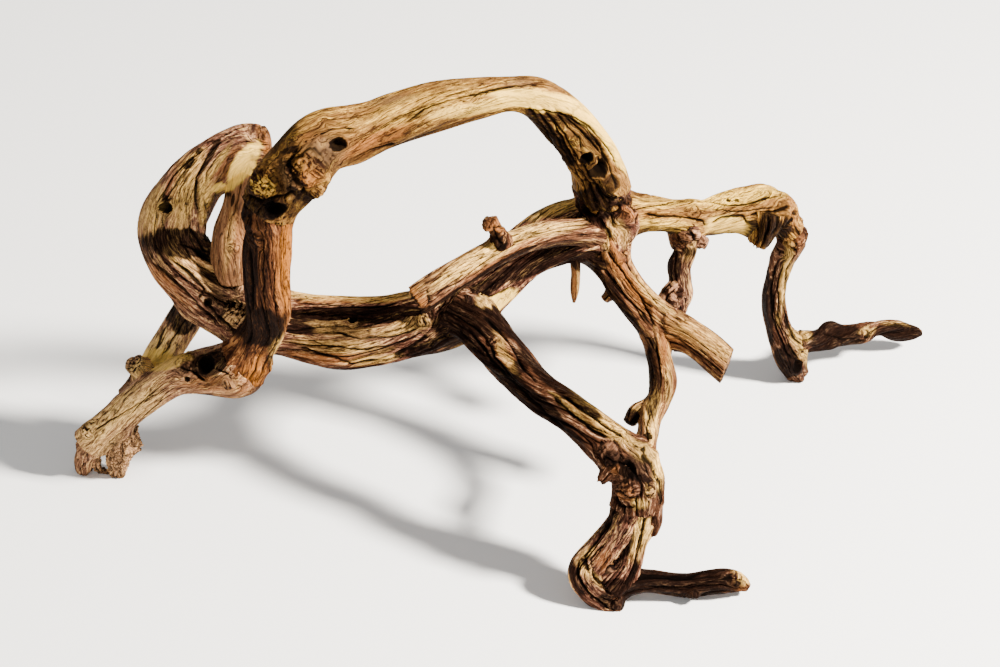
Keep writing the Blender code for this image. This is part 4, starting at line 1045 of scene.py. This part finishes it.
    def at_ends(self, grain, cap):
        """Millimetres that a torn, cracked or slanted end stands forward, and its cracks."""
        cracks = np.exp(-((self.grained(grain, END_CRACKS) / 0.06) ** 2))
        torn = self.grained(grain, END_FIBRES) * (3.2 if self.torn else 0.25)
        torn = torn - cracks * (1.5 if self.torn else 0.7)
        forward = cap * torn * step_between(0.0, 0.15, 1 - self.shrink)[:, None]
        near_end = step_between(self.run[-1] - SLANT_REACH, self.run[-1], self.run)[:, None]
        below = self.pixels[..., 1] - self.pixels[..., 1].mean(axis=1)[:, None]
        return forward + SLANTS.get(self.name, 0.0) * near_end * below, cracks

    def build(self):
        """The finished points, with what the materials read at each of them."""
        knot, bend, crumbs, knot_hollow, rings = self.knots()
        turned, grain = self.along_grain(bend)
        line, line_hollow = self.lines(grain)
        amount = self.marks(grain)
        rough, peeled, flaky = amount["rough"], amount["peeled"], amount["flaky"]
        coarse = self.grained(grain, COARSE)
        middle = self.grained(grain, MIDDLE)
        narrow = self.grained(grain, NARROW)
        gap, ridge = self.grooves(grain, turned, GAPS)
        seam, rib = self.grooves(grain, turned, SEAMS)
        check, _ = self.grooves(grain, turned, CHECKS)
        crumble = 0.65 * np.abs(self.lumpy(CRUMBS_LARGE)) + 0.35 * np.abs(self.lumpy(CRUMBS_SMALL))
        pits = np.exp(-((crumble / 0.10) ** 2))

        # The shape: strands, furrows, fibres and checks, then crumbs, knots and drawn lines.
        strand, furrow, fibre, crack = self.relief
        strand = (strand * (1 - rough) + rough * ROPY[0]) * (1 - 0.75 * peeled)
        furrow = furrow * (1 - rough) + rough * ROPY[1]
        smooth = 1 - 0.8 * peeled - 0.5 * amount["pale"]
        lift = strand * (0.7 * np.abs(coarse) + 0.35 * ridge - 0.9 * gap) + self.fillet()
        lift += furrow * smooth * (0.7 * np.abs(middle) + 0.2 * rib - 0.7 * seam)
        lift += fibre * narrow - crack * check * smooth - 0.35 * strand - 0.30 * furrow
        lift += crumbs * (2.4 * crumble - 1.0 * pits) + knot + line

        # How deep in a hollow each point lies, which the materials darken as painted shade and make
        # rougher.
        cavity = 0.9 * gap * np.clip(strand / 1.2, 0.25, 1) + 0.65 * seam * np.clip(furrow, 0.3, 1)
        cavity = np.maximum(cavity, check) * (1 - 0.8 * peeled)
        cavity = np.maximum(cavity, np.maximum(0.9 * pits * crumbs, 0.55 * crumbs * (crumble < 0.12)))
        cavity = np.maximum(np.maximum(cavity, knot_hollow), line_hollow)
        cavity = np.maximum(cavity, 0.5 * rings * (rings > 0.5))

        # Crusty wood and flakes crumble all over.
        if self.relief is CRUSTY:
            lift += 2.8 * crumble - 1.2 * pits
            cavity = np.maximum(cavity, 0.9 * pits)
            crumbs = np.maximum(crumbs, 0.8)
        crumbs = np.maximum(crumbs, 0.6 * flaky)
        lift += 0.5 * flaky * crumble
        amount["pale"] = np.maximum(amount["pale"], 0.75 * flaky)

        cap = self.cap[:, None] * np.ones(self.shape)
        forward, end_cracks = self.at_ends(grain, cap)
        cavity = np.maximum(cavity, cap * end_cracks * 0.8)
        points = self.base + self.out * (lift * self.shrink[:, None] * MM)[..., None]
        points += self.along[:, None] * (forward * MM)[..., None]
        tone = 0.5 + 0.45 * self.grained(grain, TONE) + 0.30 * (ridge - 0.5)
        tone += 0.25 * (rib - 0.5) + 0.32 * narrow + 0.26 * middle
        shade = self.shaded(grain, amount)
        return {
            "points": points,
            "grain": grain + (0, 0, GRAIN_START * (self.seed % GRAIN_STARTS)),
            "wear": np.stack([amount[kind] for kind in KINDS[:3]], axis=-1),
            "depth": np.stack((cavity, shade, np.maximum(crumbs, cap)), axis=-1),
            "bare": np.stack((peeled, cap, tone), axis=-1),
        }


def skeletons():
    """A coarse middle line of every strand, for the fillets at the forks."""
    lines = {}
    for name, path in PATHS.items():
        rows, _ = smooth_path(path, SKELETON_STEP * MM)
        lines[name] = (rows[:, :3], rows[:, 3])
    return lines


def wrap(rows, sides, offset):
    """The quads over a grid of rows that closes on itself."""
    row = np.arange(rows - 1)[:, None] * sides
    side = np.arange(sides)[None, :]
    after = (side + 1) % sides
    quads = np.stack((row + side, row + after, row + sides + after, row + sides + side), axis=-1)
    return quads.reshape(-1, 4) + offset


def make_mesh(name, points, quads, ends, values):
    """A smooth mesh of quads and end faces, with a vector attribute for each of the values."""
    mesh = bpy.data.meshes.new(name)
    loops = np.concatenate((quads.ravel(), *ends))
    sizes = np.concatenate((np.full(len(quads), 4), [len(e) for e in ends])).astype(np.int32)
    starts = np.concatenate(([0], np.cumsum(sizes)[:-1])).astype(np.int32)
    mesh.vertices.add(len(points))
    mesh.vertices.foreach_set("co", points.ravel())
    mesh.loops.add(len(loops))
    mesh.loops.foreach_set("vertex_index", loops.astype(np.int32))
    mesh.polygons.add(len(sizes))
    mesh.polygons.foreach_set("loop_start", starts)
    mesh.polygons.foreach_set("loop_total", sizes)
    for key, held in values.items():
        layer = mesh.attributes.new(key, "FLOAT_VECTOR", "POINT")
        layer.data.foreach_set("vector", np.vstack(held).astype(np.float32).ravel())
    mesh.update(calc_edges=True)
    mesh.validate()
    mesh.shade_smooth()
    return mesh


def make_piece(node, names, material):
    """Joins a node's strands in one mesh and gives it its wood."""
    points, quads, ends = [], [], []
    values = {"grain": [], "wear": [], "depth": [], "bare": []}
    offset = 0
    for name in names:
        built = Strand(name).build()
        rows, sides = built["points"].shape[:2]
        quads.append(wrap(rows, sides, offset))
        ends.append(np.arange(sides) + offset)
        ends.append((np.arange(sides) + offset + (rows - 1) * sides)[::-1])
        points.append(built["points"].reshape(-1, 3))
        for key, held in values.items():
            held.append(built[key].reshape(-1, 3))
        offset += rows * sides
    points = np.vstack(points) + CENTRE_SHIFT
    points[:, 2] = np.maximum(points[:, 2], 0.0)
    mesh = make_mesh(node + "_wood", points, np.vstack(quads), ends, values)
    mesh.materials.append(material)
    piece = bpy.data.objects.new(node + "_wood", mesh)
    bpy.context.collection.objects.link(piece)
    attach(piece, "root")
    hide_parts(node)


class Net:
    """A node tree that is built up step by step. Each step gives back the socket it ends in."""

    def __init__(self, tree):
        self.tree = tree

    def feed(self, socket, value):
        """Joins a socket to another one, or gives it a number or a colour."""
        if isinstance(value, bpy.types.NodeSocket):
            self.tree.links.new(value, socket)
        elif isinstance(value, tuple):
            socket.default_value = (*value, 1.0)
        else:
            socket.default_value = value

    def noise(self, vector, scale, stretch, detail, roughness=0.6):
        """Noise over the grain, drawn out along it."""
        place = self.tree.nodes.new("ShaderNodeMapping")
        place.inputs["Scale"].default_value = (scale, scale, scale * stretch)
        self.feed(place.inputs["Vector"], vector)
        made = self.tree.nodes.new("ShaderNodeTexNoise")
        made.inputs["Scale"].default_value = 1.0
        made.inputs["Detail"].default_value = detail
        made.inputs["Roughness"].default_value = roughness
        self.feed(made.inputs["Vector"], place.outputs["Vector"])
        return made.outputs["Fac"]

    def fade(self, value, low, high, to_low=0.0, to_high=1.0):
        """Goes smoothly from one number to another as a value goes from low to high."""
        made = self.tree.nodes.new("ShaderNodeMapRange")
        made.interpolation_type = "SMOOTHSTEP"
        for label, number in (("Value", value), ("From Min", low), ("From Max", high),
                              ("To Min", to_low), ("To Max", to_high)):
            self.feed(made.inputs[label], number)
        return made.outputs["Result"]

    def math(self, operation, first, *others):
        """The outcome of one kind of sum over two values or more."""
        for other in others:
            made = self.tree.nodes.new("ShaderNodeMath")
            made.operation = operation
            made.use_clamp = operation != "SUBTRACT"
            self.feed(made.inputs[0], first)
            self.feed(made.inputs[1], other)
            first = made.outputs["Value"]
        return first

    def times(self, *values):
        """Values multiplied, and kept between 0 and 1."""
        return self.math("MULTIPLY", *values)

    def plus(self, *values):
        """Values added, and kept between 0 and 1."""
        return self.math("ADD", *values)

    def minus(self, whole, part):
        """One value less another."""
        return self.math("SUBTRACT", whole, part)

    def mix(self, amount, a, b):
        """Colour a, turning to colour b as the amount goes from 0 to 1."""
        made = self.tree.nodes.new("ShaderNodeMix")
        made.data_type = "RGBA"
        self.feed(made.inputs[0], amount)
        self.feed(made.inputs[6], a)
        self.feed(made.inputs[7], b)
        return made.outputs[2]

    def lines(self, vector, scale, stretch, width):
        """Long thin lines with the grain, where smooth noise passes its middle value."""
        level = self.noise(vector, scale, stretch, 1.0, 0.4)
        return self.times(self.fade(level, 0.5 - width, 0.5), self.fade(level, 0.5 + width, 0.5))


def new_group(name, inputs, outputs):
    """An empty node group with named sockets."""
    group = bpy.data.node_groups.new(name, "ShaderNodeTree")
    for label, kind, value in inputs:
        socket = group.interface.new_socket(label, in_out="INPUT", socket_type=kind)
        if value is not None:
            socket.default_value = value
    for label, kind in outputs:
        group.interface.new_socket(label, in_out="OUTPUT", socket_type=kind)
    return group, group.nodes.new("NodeGroupInput"), group.nodes.new("NodeGroupOutput")


# Patterns that the grain gives to the weathering.
PATTERNS = ("Streaks", "Fibres", "Specks", "Blotches", "Crumbs", "Cracks")

# Patterns of the grain: scale for each millimetre, stretch along the grain, detail, roughness.
STREAKS = (0.46, 0.050, 3.0)
FIBRES = (1.05, 0.140, 3.0, 0.75)
SPECKS = (1.25, 0.26, 2.0)
BLOTCHES = (0.10, 0.30, 3.0)
CRUMBS = (0.48, 1.0, 3.0, 0.65)
CRACKED_PATCHES = (0.22, 0.10, 1.0)

# Dark lines with the grain: scale for each millimetre, stretch along it, and width.
WIDE_CRACKS = (0.16, 0.09, 0.028)
THIN_CRACKS = (0.42, 0.07, 0.070)


def vine_grain_group():
    """Streaks, fibres, specks, crumbs and fine relief that run with the grain of the vine."""
    group, start, end = new_group(
        "vine_grain",
        (("Grain", "NodeSocketVector", None), ("Crumb", "NodeSocketFloat", 0.0)),
        [(label, "NodeSocketFloat") for label in (*PATTERNS, "Relief")],
    )
    net = Net(group)
    grain, crumb = start.outputs["Grain"], start.outputs["Crumb"]
    fibres = net.noise(grain, *FIBRES)
    crumbs = net.noise(grain, *CRUMBS)
    flecks = net.fade(net.noise(grain, *SPECKS), 0.57, 0.63)
    patches = net.fade(net.noise(grain, *CRACKED_PATCHES), 0.44, 0.56)
    thin_cracks = net.times(net.lines(grain, *THIN_CRACKS), patches)
    cracks = net.math("MAXIMUM", net.lines(grain, *WIDE_CRACKS), thin_cracks)
    cracks = net.times(cracks, net.minus(1.0, crumb), net.fade(fibres, 0.66, 0.44))
    pitted = net.plus(net.times(cracks, 0.55), net.times(flecks, 0.20))
    given = {
        "Streaks": net.fade(net.noise(grain, *STREAKS), 0.38, 0.62),
        "Fibres": net.fade(fibres, 0.38, 0.62),
        "Specks": flecks,
        "Blotches": net.fade(net.noise(grain, *BLOTCHES), 0.28, 0.72),
        "Crumbs": net.fade(crumbs, 0.58, 0.44),
        "Cracks": cracks,
        "Relief": net.minus(net.plus(net.mix(crumb, fibres, crumbs), 0.4), pitted),
    }
    for label, value in given.items():
        net.feed(end.inputs[label], value)
    return group


# The wood's colours, among them a painted shadow, a painted shade for the hollows and a painted
# highlight for the palest streaks.
COLOURS = {
    "Dark": (0.023, 0.0073, 0.0034), "Middle": (0.083, 0.034, 0.019),
    "Light": (0.36, 0.19, 0.098), "Worn": (0.90, 0.54, 0.14),
    "CrestHighlight": (0.84, 0.49, 0.14), "Fleck": (0.011, 0.0034, 0.0015),
    "Ember": (0.27, 0.096, 0.022), "Grey": (0.090, 0.056, 0.033),
    "HollowShade": (0.0009, 0.0004, 0.0002), "Peeled": (0.96, 0.61, 0.11),
    "Shadow": (0.0044, 0.0014, 0.0006),
}

# How much each pattern adds to the tone of the wood, which goes from dark to its pale crests, where a
# painted highlight lies.
BAND_SHARE = 0.28
BLOTCH_SHARE = 0.17
STREAK_SHARE = 0.16
FIBRE_SHARE = 0.38

# Between which tones the wood turns from dark to middle, to light, and to the painted highlight on
# its crests.
DARK_TO_MIDDLE = (0.14, 0.46)
MIDDLE_TO_LIGHT = (0.48, 0.84)
LIGHT_TO_CREST_HIGHLIGHT = (0.68, 0.94)

# How strongly each layer covers the wood under it, and how much less it does so where the bark
# has peeled off.
CREST_HIGHLIGHT_COVER = 0.75
CRUMB_COVER = 0.60
GREY_COVER = 0.60
SPECK_COVER = 0.50
SPECK_LOSS = 0.40
CRACK_COVER = 0.88
CRACK_LOSS = 0.65
HOLLOW_SHADE_COVER = 0.95

# What the three attributes of a mesh hold.
HELD = {
    "Wear": ("pale", "ember", "grey"),
    "Depth": ("cavity", "shade", "crumb"),
    "Bare": ("peeled", "cut", "tone"),
}


def weathering_and_shade_group():
    """Lays worn, stained and peeled places over the colours of the wood, with painted shadow, painted
    shade in the hollows and a painted highlight on the palest streaks.
    """
    inputs = [(label, "NodeSocketColor", (*colour, 1.0)) for label, colour in COLOURS.items()]
    inputs += [(label, "NodeSocketVector", None) for label in HELD]
    inputs += [(label, "NodeSocketFloat", 0.5) for label in PATTERNS]
    group, start, end = new_group(
        "weathering_and_shade", inputs, (("Colour", "NodeSocketColor"), ("Roughness", "NodeSocketFloat"))
    )
    net = Net(group)
    given = start.outputs
    fibres = given["Fibres"]
    parts = {}
    for label, names in HELD.items():
        split = group.nodes.new("ShaderNodeSeparateXYZ")
        net.feed(split.inputs[0], given[label])
        parts.update(zip(names, split.outputs))

    # The sound wood, from its dark furrows to its pale crests, with a painted highlight on the palest
    # streaks.
    tone = net.plus(
        net.times(net.fade(parts["tone"], 0.15, 0.85), BAND_SHARE),
        net.times(given["Blotches"], BLOTCH_SHARE),
        net.times(given["Streaks"], STREAK_SHARE),
        net.times(fibres, FIBRE_SHARE),
    )
    wood = net.mix(net.fade(tone, *DARK_TO_MIDDLE), given["Dark"], given["Middle"])
    wood = net.mix(net.fade(tone, *MIDDLE_TO_LIGHT), wood, given["Light"])
    # Painted highlight on the palest streaks of the grain.
    crest_highlight = net.times(net.fade(tone, *LIGHT_TO_CREST_HIGHLIGHT), CREST_HIGHLIGHT_COVER)
    wood = net.mix(crest_highlight, wood, given["CrestHighlight"])

    # Crumbs, red-brown and grey stains, worn places, and places where the bark has peeled off.
    wood = net.mix(net.times(parts["crumb"], CRUMB_COVER), wood, given["Light"])
    amber = net.times(parts["ember"], net.plus(given["Streaks"], 0.30))
    wood = net.mix(amber, wood, given["Ember"])
    wood = net.mix(net.times(parts["grey"], GREY_COVER), wood, given["Grey"])
    worn = net.times(parts["pale"], net.plus(0.30, net.times(fibres, 0.7)))
    wood = net.mix(worn, wood, given["Worn"])
    clean = net.mix(net.times(fibres, 0.30), given["Peeled"], given["Light"])
    wood = net.mix(parts["peeled"], wood, clean)

    # Dark specks, pits and lines, which the peeled places have fewer of.
    cover = net.minus(SPECK_COVER, net.times(parts["peeled"], SPECK_LOSS))
    wood = net.mix(net.times(given["Specks"], cover), wood, given["Fleck"])
    wood = net.mix(net.times(parts["crumb"], given["Crumbs"]), wood, given["Fleck"])
    cover = net.minus(CRACK_COVER, net.times(parts["peeled"], CRACK_LOSS))
    wood = net.mix(net.times(given["Cracks"], cover), wood, given["Fleck"])

    # Painted shadow from the shade marks and the downward sides, then painted shade in the hollows.
    painted_shadow = net.times(net.fade(parts["shade"], 0.05, 0.85),
                      net.minus(1.0, net.times(fibres, 0.10)))
    wood = net.mix(painted_shadow, wood, given["Shadow"])
    # Hollows, cracks, pits and knot moats are darkened nearly to black as painted shade.
    hole = net.times(net.fade(parts["cavity"], 0.18, 0.72), HOLLOW_SHADE_COVER)
    net.feed(end.inputs["Colour"], net.mix(hole, wood, given["HollowShade"]))
    net.feed(end.inputs["Roughness"], net.fade(parts["cavity"], 0.0, 1.0, 0.62, 0.95))
    return group


# Each wood's own colours, where they differ from the weathered wood's; its crest colour is a painted
# highlight.
WOODS = {
    "arch_wood": {
        "Dark": (0.080, 0.033, 0.0095), "Middle": (0.175, 0.080, 0.020),
        "Light": (0.32, 0.162, 0.037), "Worn": (0.94, 0.58, 0.085), "CrestHighlight": (0.70, 0.39, 0.062),
        "Fleck": (0.020, 0.0068, 0.0024),
    },
    "trunk_wood": {"Middle": (0.086, 0.033, 0.020), "Light": (0.41, 0.205, 0.108)},
    "stem_wood": {
        "Middle": (0.085, 0.030, 0.0115), "Light": (0.24, 0.094, 0.031),
        "CrestHighlight": (0.42, 0.18, 0.058), "Ember": (0.33, 0.112, 0.014),
    },
    "pale_wood": {
        "Dark": (0.046, 0.017, 0.0080), "Middle": (0.122, 0.050, 0.024),
        "Light": (0.39, 0.20, 0.088),
    },
    "dark_wood": {
        "Dark": (0.014, 0.0044, 0.0018), "Middle": (0.048, 0.018, 0.0082),
        "Light": (0.165, 0.078, 0.042), "CrestHighlight": (0.50, 0.28, 0.14),
    },
    "twisted_wood": {
        "Dark": (0.042, 0.015, 0.0080), "Middle": (0.170, 0.072, 0.042),
        "Light": (0.58, 0.31, 0.150),
    },
    "foot_wood": {
        "Dark": (0.085, 0.036, 0.019), "Middle": (0.25, 0.120, 0.062),
        "Light": (0.56, 0.31, 0.140), "Worn": (0.95, 0.60, 0.190), "CrestHighlight": (0.90, 0.55, 0.170),
    },
    "tan_wood": {
        "Dark": (0.046, 0.017, 0.0078), "Middle": (0.118, 0.048, 0.020),
        "Light": (0.30, 0.142, 0.048), "CrestHighlight": (0.62, 0.34, 0.100),
    },
    "smooth_wood": {
        "Dark": (0.110, 0.045, 0.020), "Middle": (0.19, 0.084, 0.036),
        "Light": (0.28, 0.135, 0.058), "CrestHighlight": (0.42, 0.22, 0.095),
    },
}

# Nodes whose wood looks unlike the rest of its kind.
OWN_WOOD = {
    "foot_limb": "foot_wood", "rear_leg": "foot_wood",
    "twisted_trunk": "twisted_wood", "inner_stem": "smooth_wood",
    "down_limb": "tan_wood", "cut_branch": "tan_wood", "thin_leg": "tan_wood",
}


def make_wood(name, colours, grain_group, weathering_and_shade_tree):
    """One wood: the grain, the weathering and the painted light and shade, with this wood's colours.
    """
    material = bpy.data.materials.new("weathered_and_shaded_" + name)
    material.use_nodes = True
    net = Net(material.node_tree)
    shader = net.tree.nodes["Principled BSDF"]
    shader.inputs["Specular IOR Level"].default_value = WOOD_SHINE
    grain = net.tree.nodes.new("ShaderNodeGroup")
    grain.node_tree = grain_group
    weathering_and_shade = net.tree.nodes.new("ShaderNodeGroup")
    weathering_and_shade.node_tree = weathering_and_shade_tree
    read = {}
    for key in ("grain", "wear", "depth", "bare"):
        attribute = net.tree.nodes.new("ShaderNodeAttribute")
        attribute.attribute_name = key
        read[key] = attribute.outputs["Vector"]
    depths = net.tree.nodes.new("ShaderNodeSeparateXYZ")
    net.feed(depths.inputs[0], read["depth"])
    net.feed(grain.inputs["Grain"], read["grain"])
    net.feed(grain.inputs["Crumb"], depths.outputs["Z"])
    for label in HELD:
        net.feed(weathering_and_shade.inputs[label], read[label.lower()])
    for label in PATTERNS:
        net.feed(weathering_and_shade.inputs[label], grain.outputs[label])
    for label, colour in colours.items():
        net.feed(weathering_and_shade.inputs[label], colour)
    bump = net.tree.nodes.new("ShaderNodeBump")
    bump.inputs["Strength"].default_value = 1.0
    bump.inputs["Distance"].default_value = FIBRE_HEIGHT * MM
    net.feed(bump.inputs["Height"], grain.outputs["Relief"])
    net.feed(shader.inputs["Normal"], bump.outputs["Normal"])
    net.feed(shader.inputs["Base Color"], weathering_and_shade.outputs["Colour"])
    net.feed(shader.inputs["Roughness"], weathering_and_shade.outputs["Roughness"])
    return material


def make_floor():
    """A plain, nearly white floor that runs well out of view."""
    mesh = bpy.data.meshes.new("floor")
    corners = [(x * FLOOR_HALF, y * FLOOR_HALF, 0.0)
               for x, y in ((-1, -1), (1, -1), (1, 1), (-1, 1))]
    mesh.from_pydata(corners, [], [(0, 1, 2, 3)])
    floor = bpy.data.objects.new("floor", mesh)
    bpy.context.collection.objects.link(floor)
    material = bpy.data.materials.new("pale_floor")
    material.use_nodes = True
    shader = material.node_tree.nodes["Principled BSDF"]
    shader.inputs["Base Color"].default_value = (*FLOOR_COLOUR, 1.0)
    shader.inputs["Roughness"].default_value = 0.9
    shader.inputs["Specular IOR Level"].default_value = 0.1
    mesh.materials.append(material)


def make_light(name, place, energy, size, colour):
    """A soft square lamp that looks at the middle of the piece."""
    lamp = bpy.data.lights.new(name, "AREA")
    lamp.energy = energy
    lamp.size = size
    lamp.color = colour
    held = bpy.data.objects.new(name, lamp)
    bpy.context.collection.objects.link(held)
    held.location = place
    aim = np.array((0.0, 0.0, VIEW_TARGET_HEIGHT)) - np.array(place)
    aim /= np.linalg.norm(aim)
    held.rotation_euler = (math.acos(-aim[2]), 0.0, math.atan2(-aim[0], aim[1]))


def make_camera():
    """The camera of the photograph's view."""
    lens = bpy.data.cameras.new("camera")
    lens.lens = LENS
    lens.sensor_width = SENSOR
    camera = bpy.data.objects.new("camera", lens)
    bpy.context.collection.objects.link(camera)
    camera.location = CENTRE_SHIFT + VIEW_DISTANCE * TO_EYE + (0.0, 0.0, VIEW_TARGET_HEIGHT)
    camera.rotation_euler = (math.pi / 2 - VIEW_ELEVATION, 0.0, 0.0)
    bpy.context.scene.camera = camera


def make_sky():
    """An even, nearly white sky."""
    world = bpy.data.worlds.new("studio_sky")
    bpy.context.scene.world = world
    world.use_nodes = True
    sky = world.node_tree.nodes["Background"]
    sky.inputs["Color"].default_value = (*SKY_COLOUR, 1.0)
    sky.inputs["Strength"].default_value = SKY_STRENGTH


grain_nodes = vine_grain_group()
weathering_and_shade_nodes = weathering_and_shade_group()
woods = {name: make_wood(name, colours, grain_nodes, weathering_and_shade_nodes)
         for name, colours in WOODS.items()}
SKELETONS = skeletons()
for node_name, (strand_names, wood_name) in NODES.items():
    looks = woods[OWN_WOOD.get(node_name, wood_name)]
    make_piece(node_name, strand_names, looks)
make_floor()
make_camera()
make_sky()
for lamp_name, lamp_values in LAMPS.items():
    make_light(lamp_name, *lamp_values)
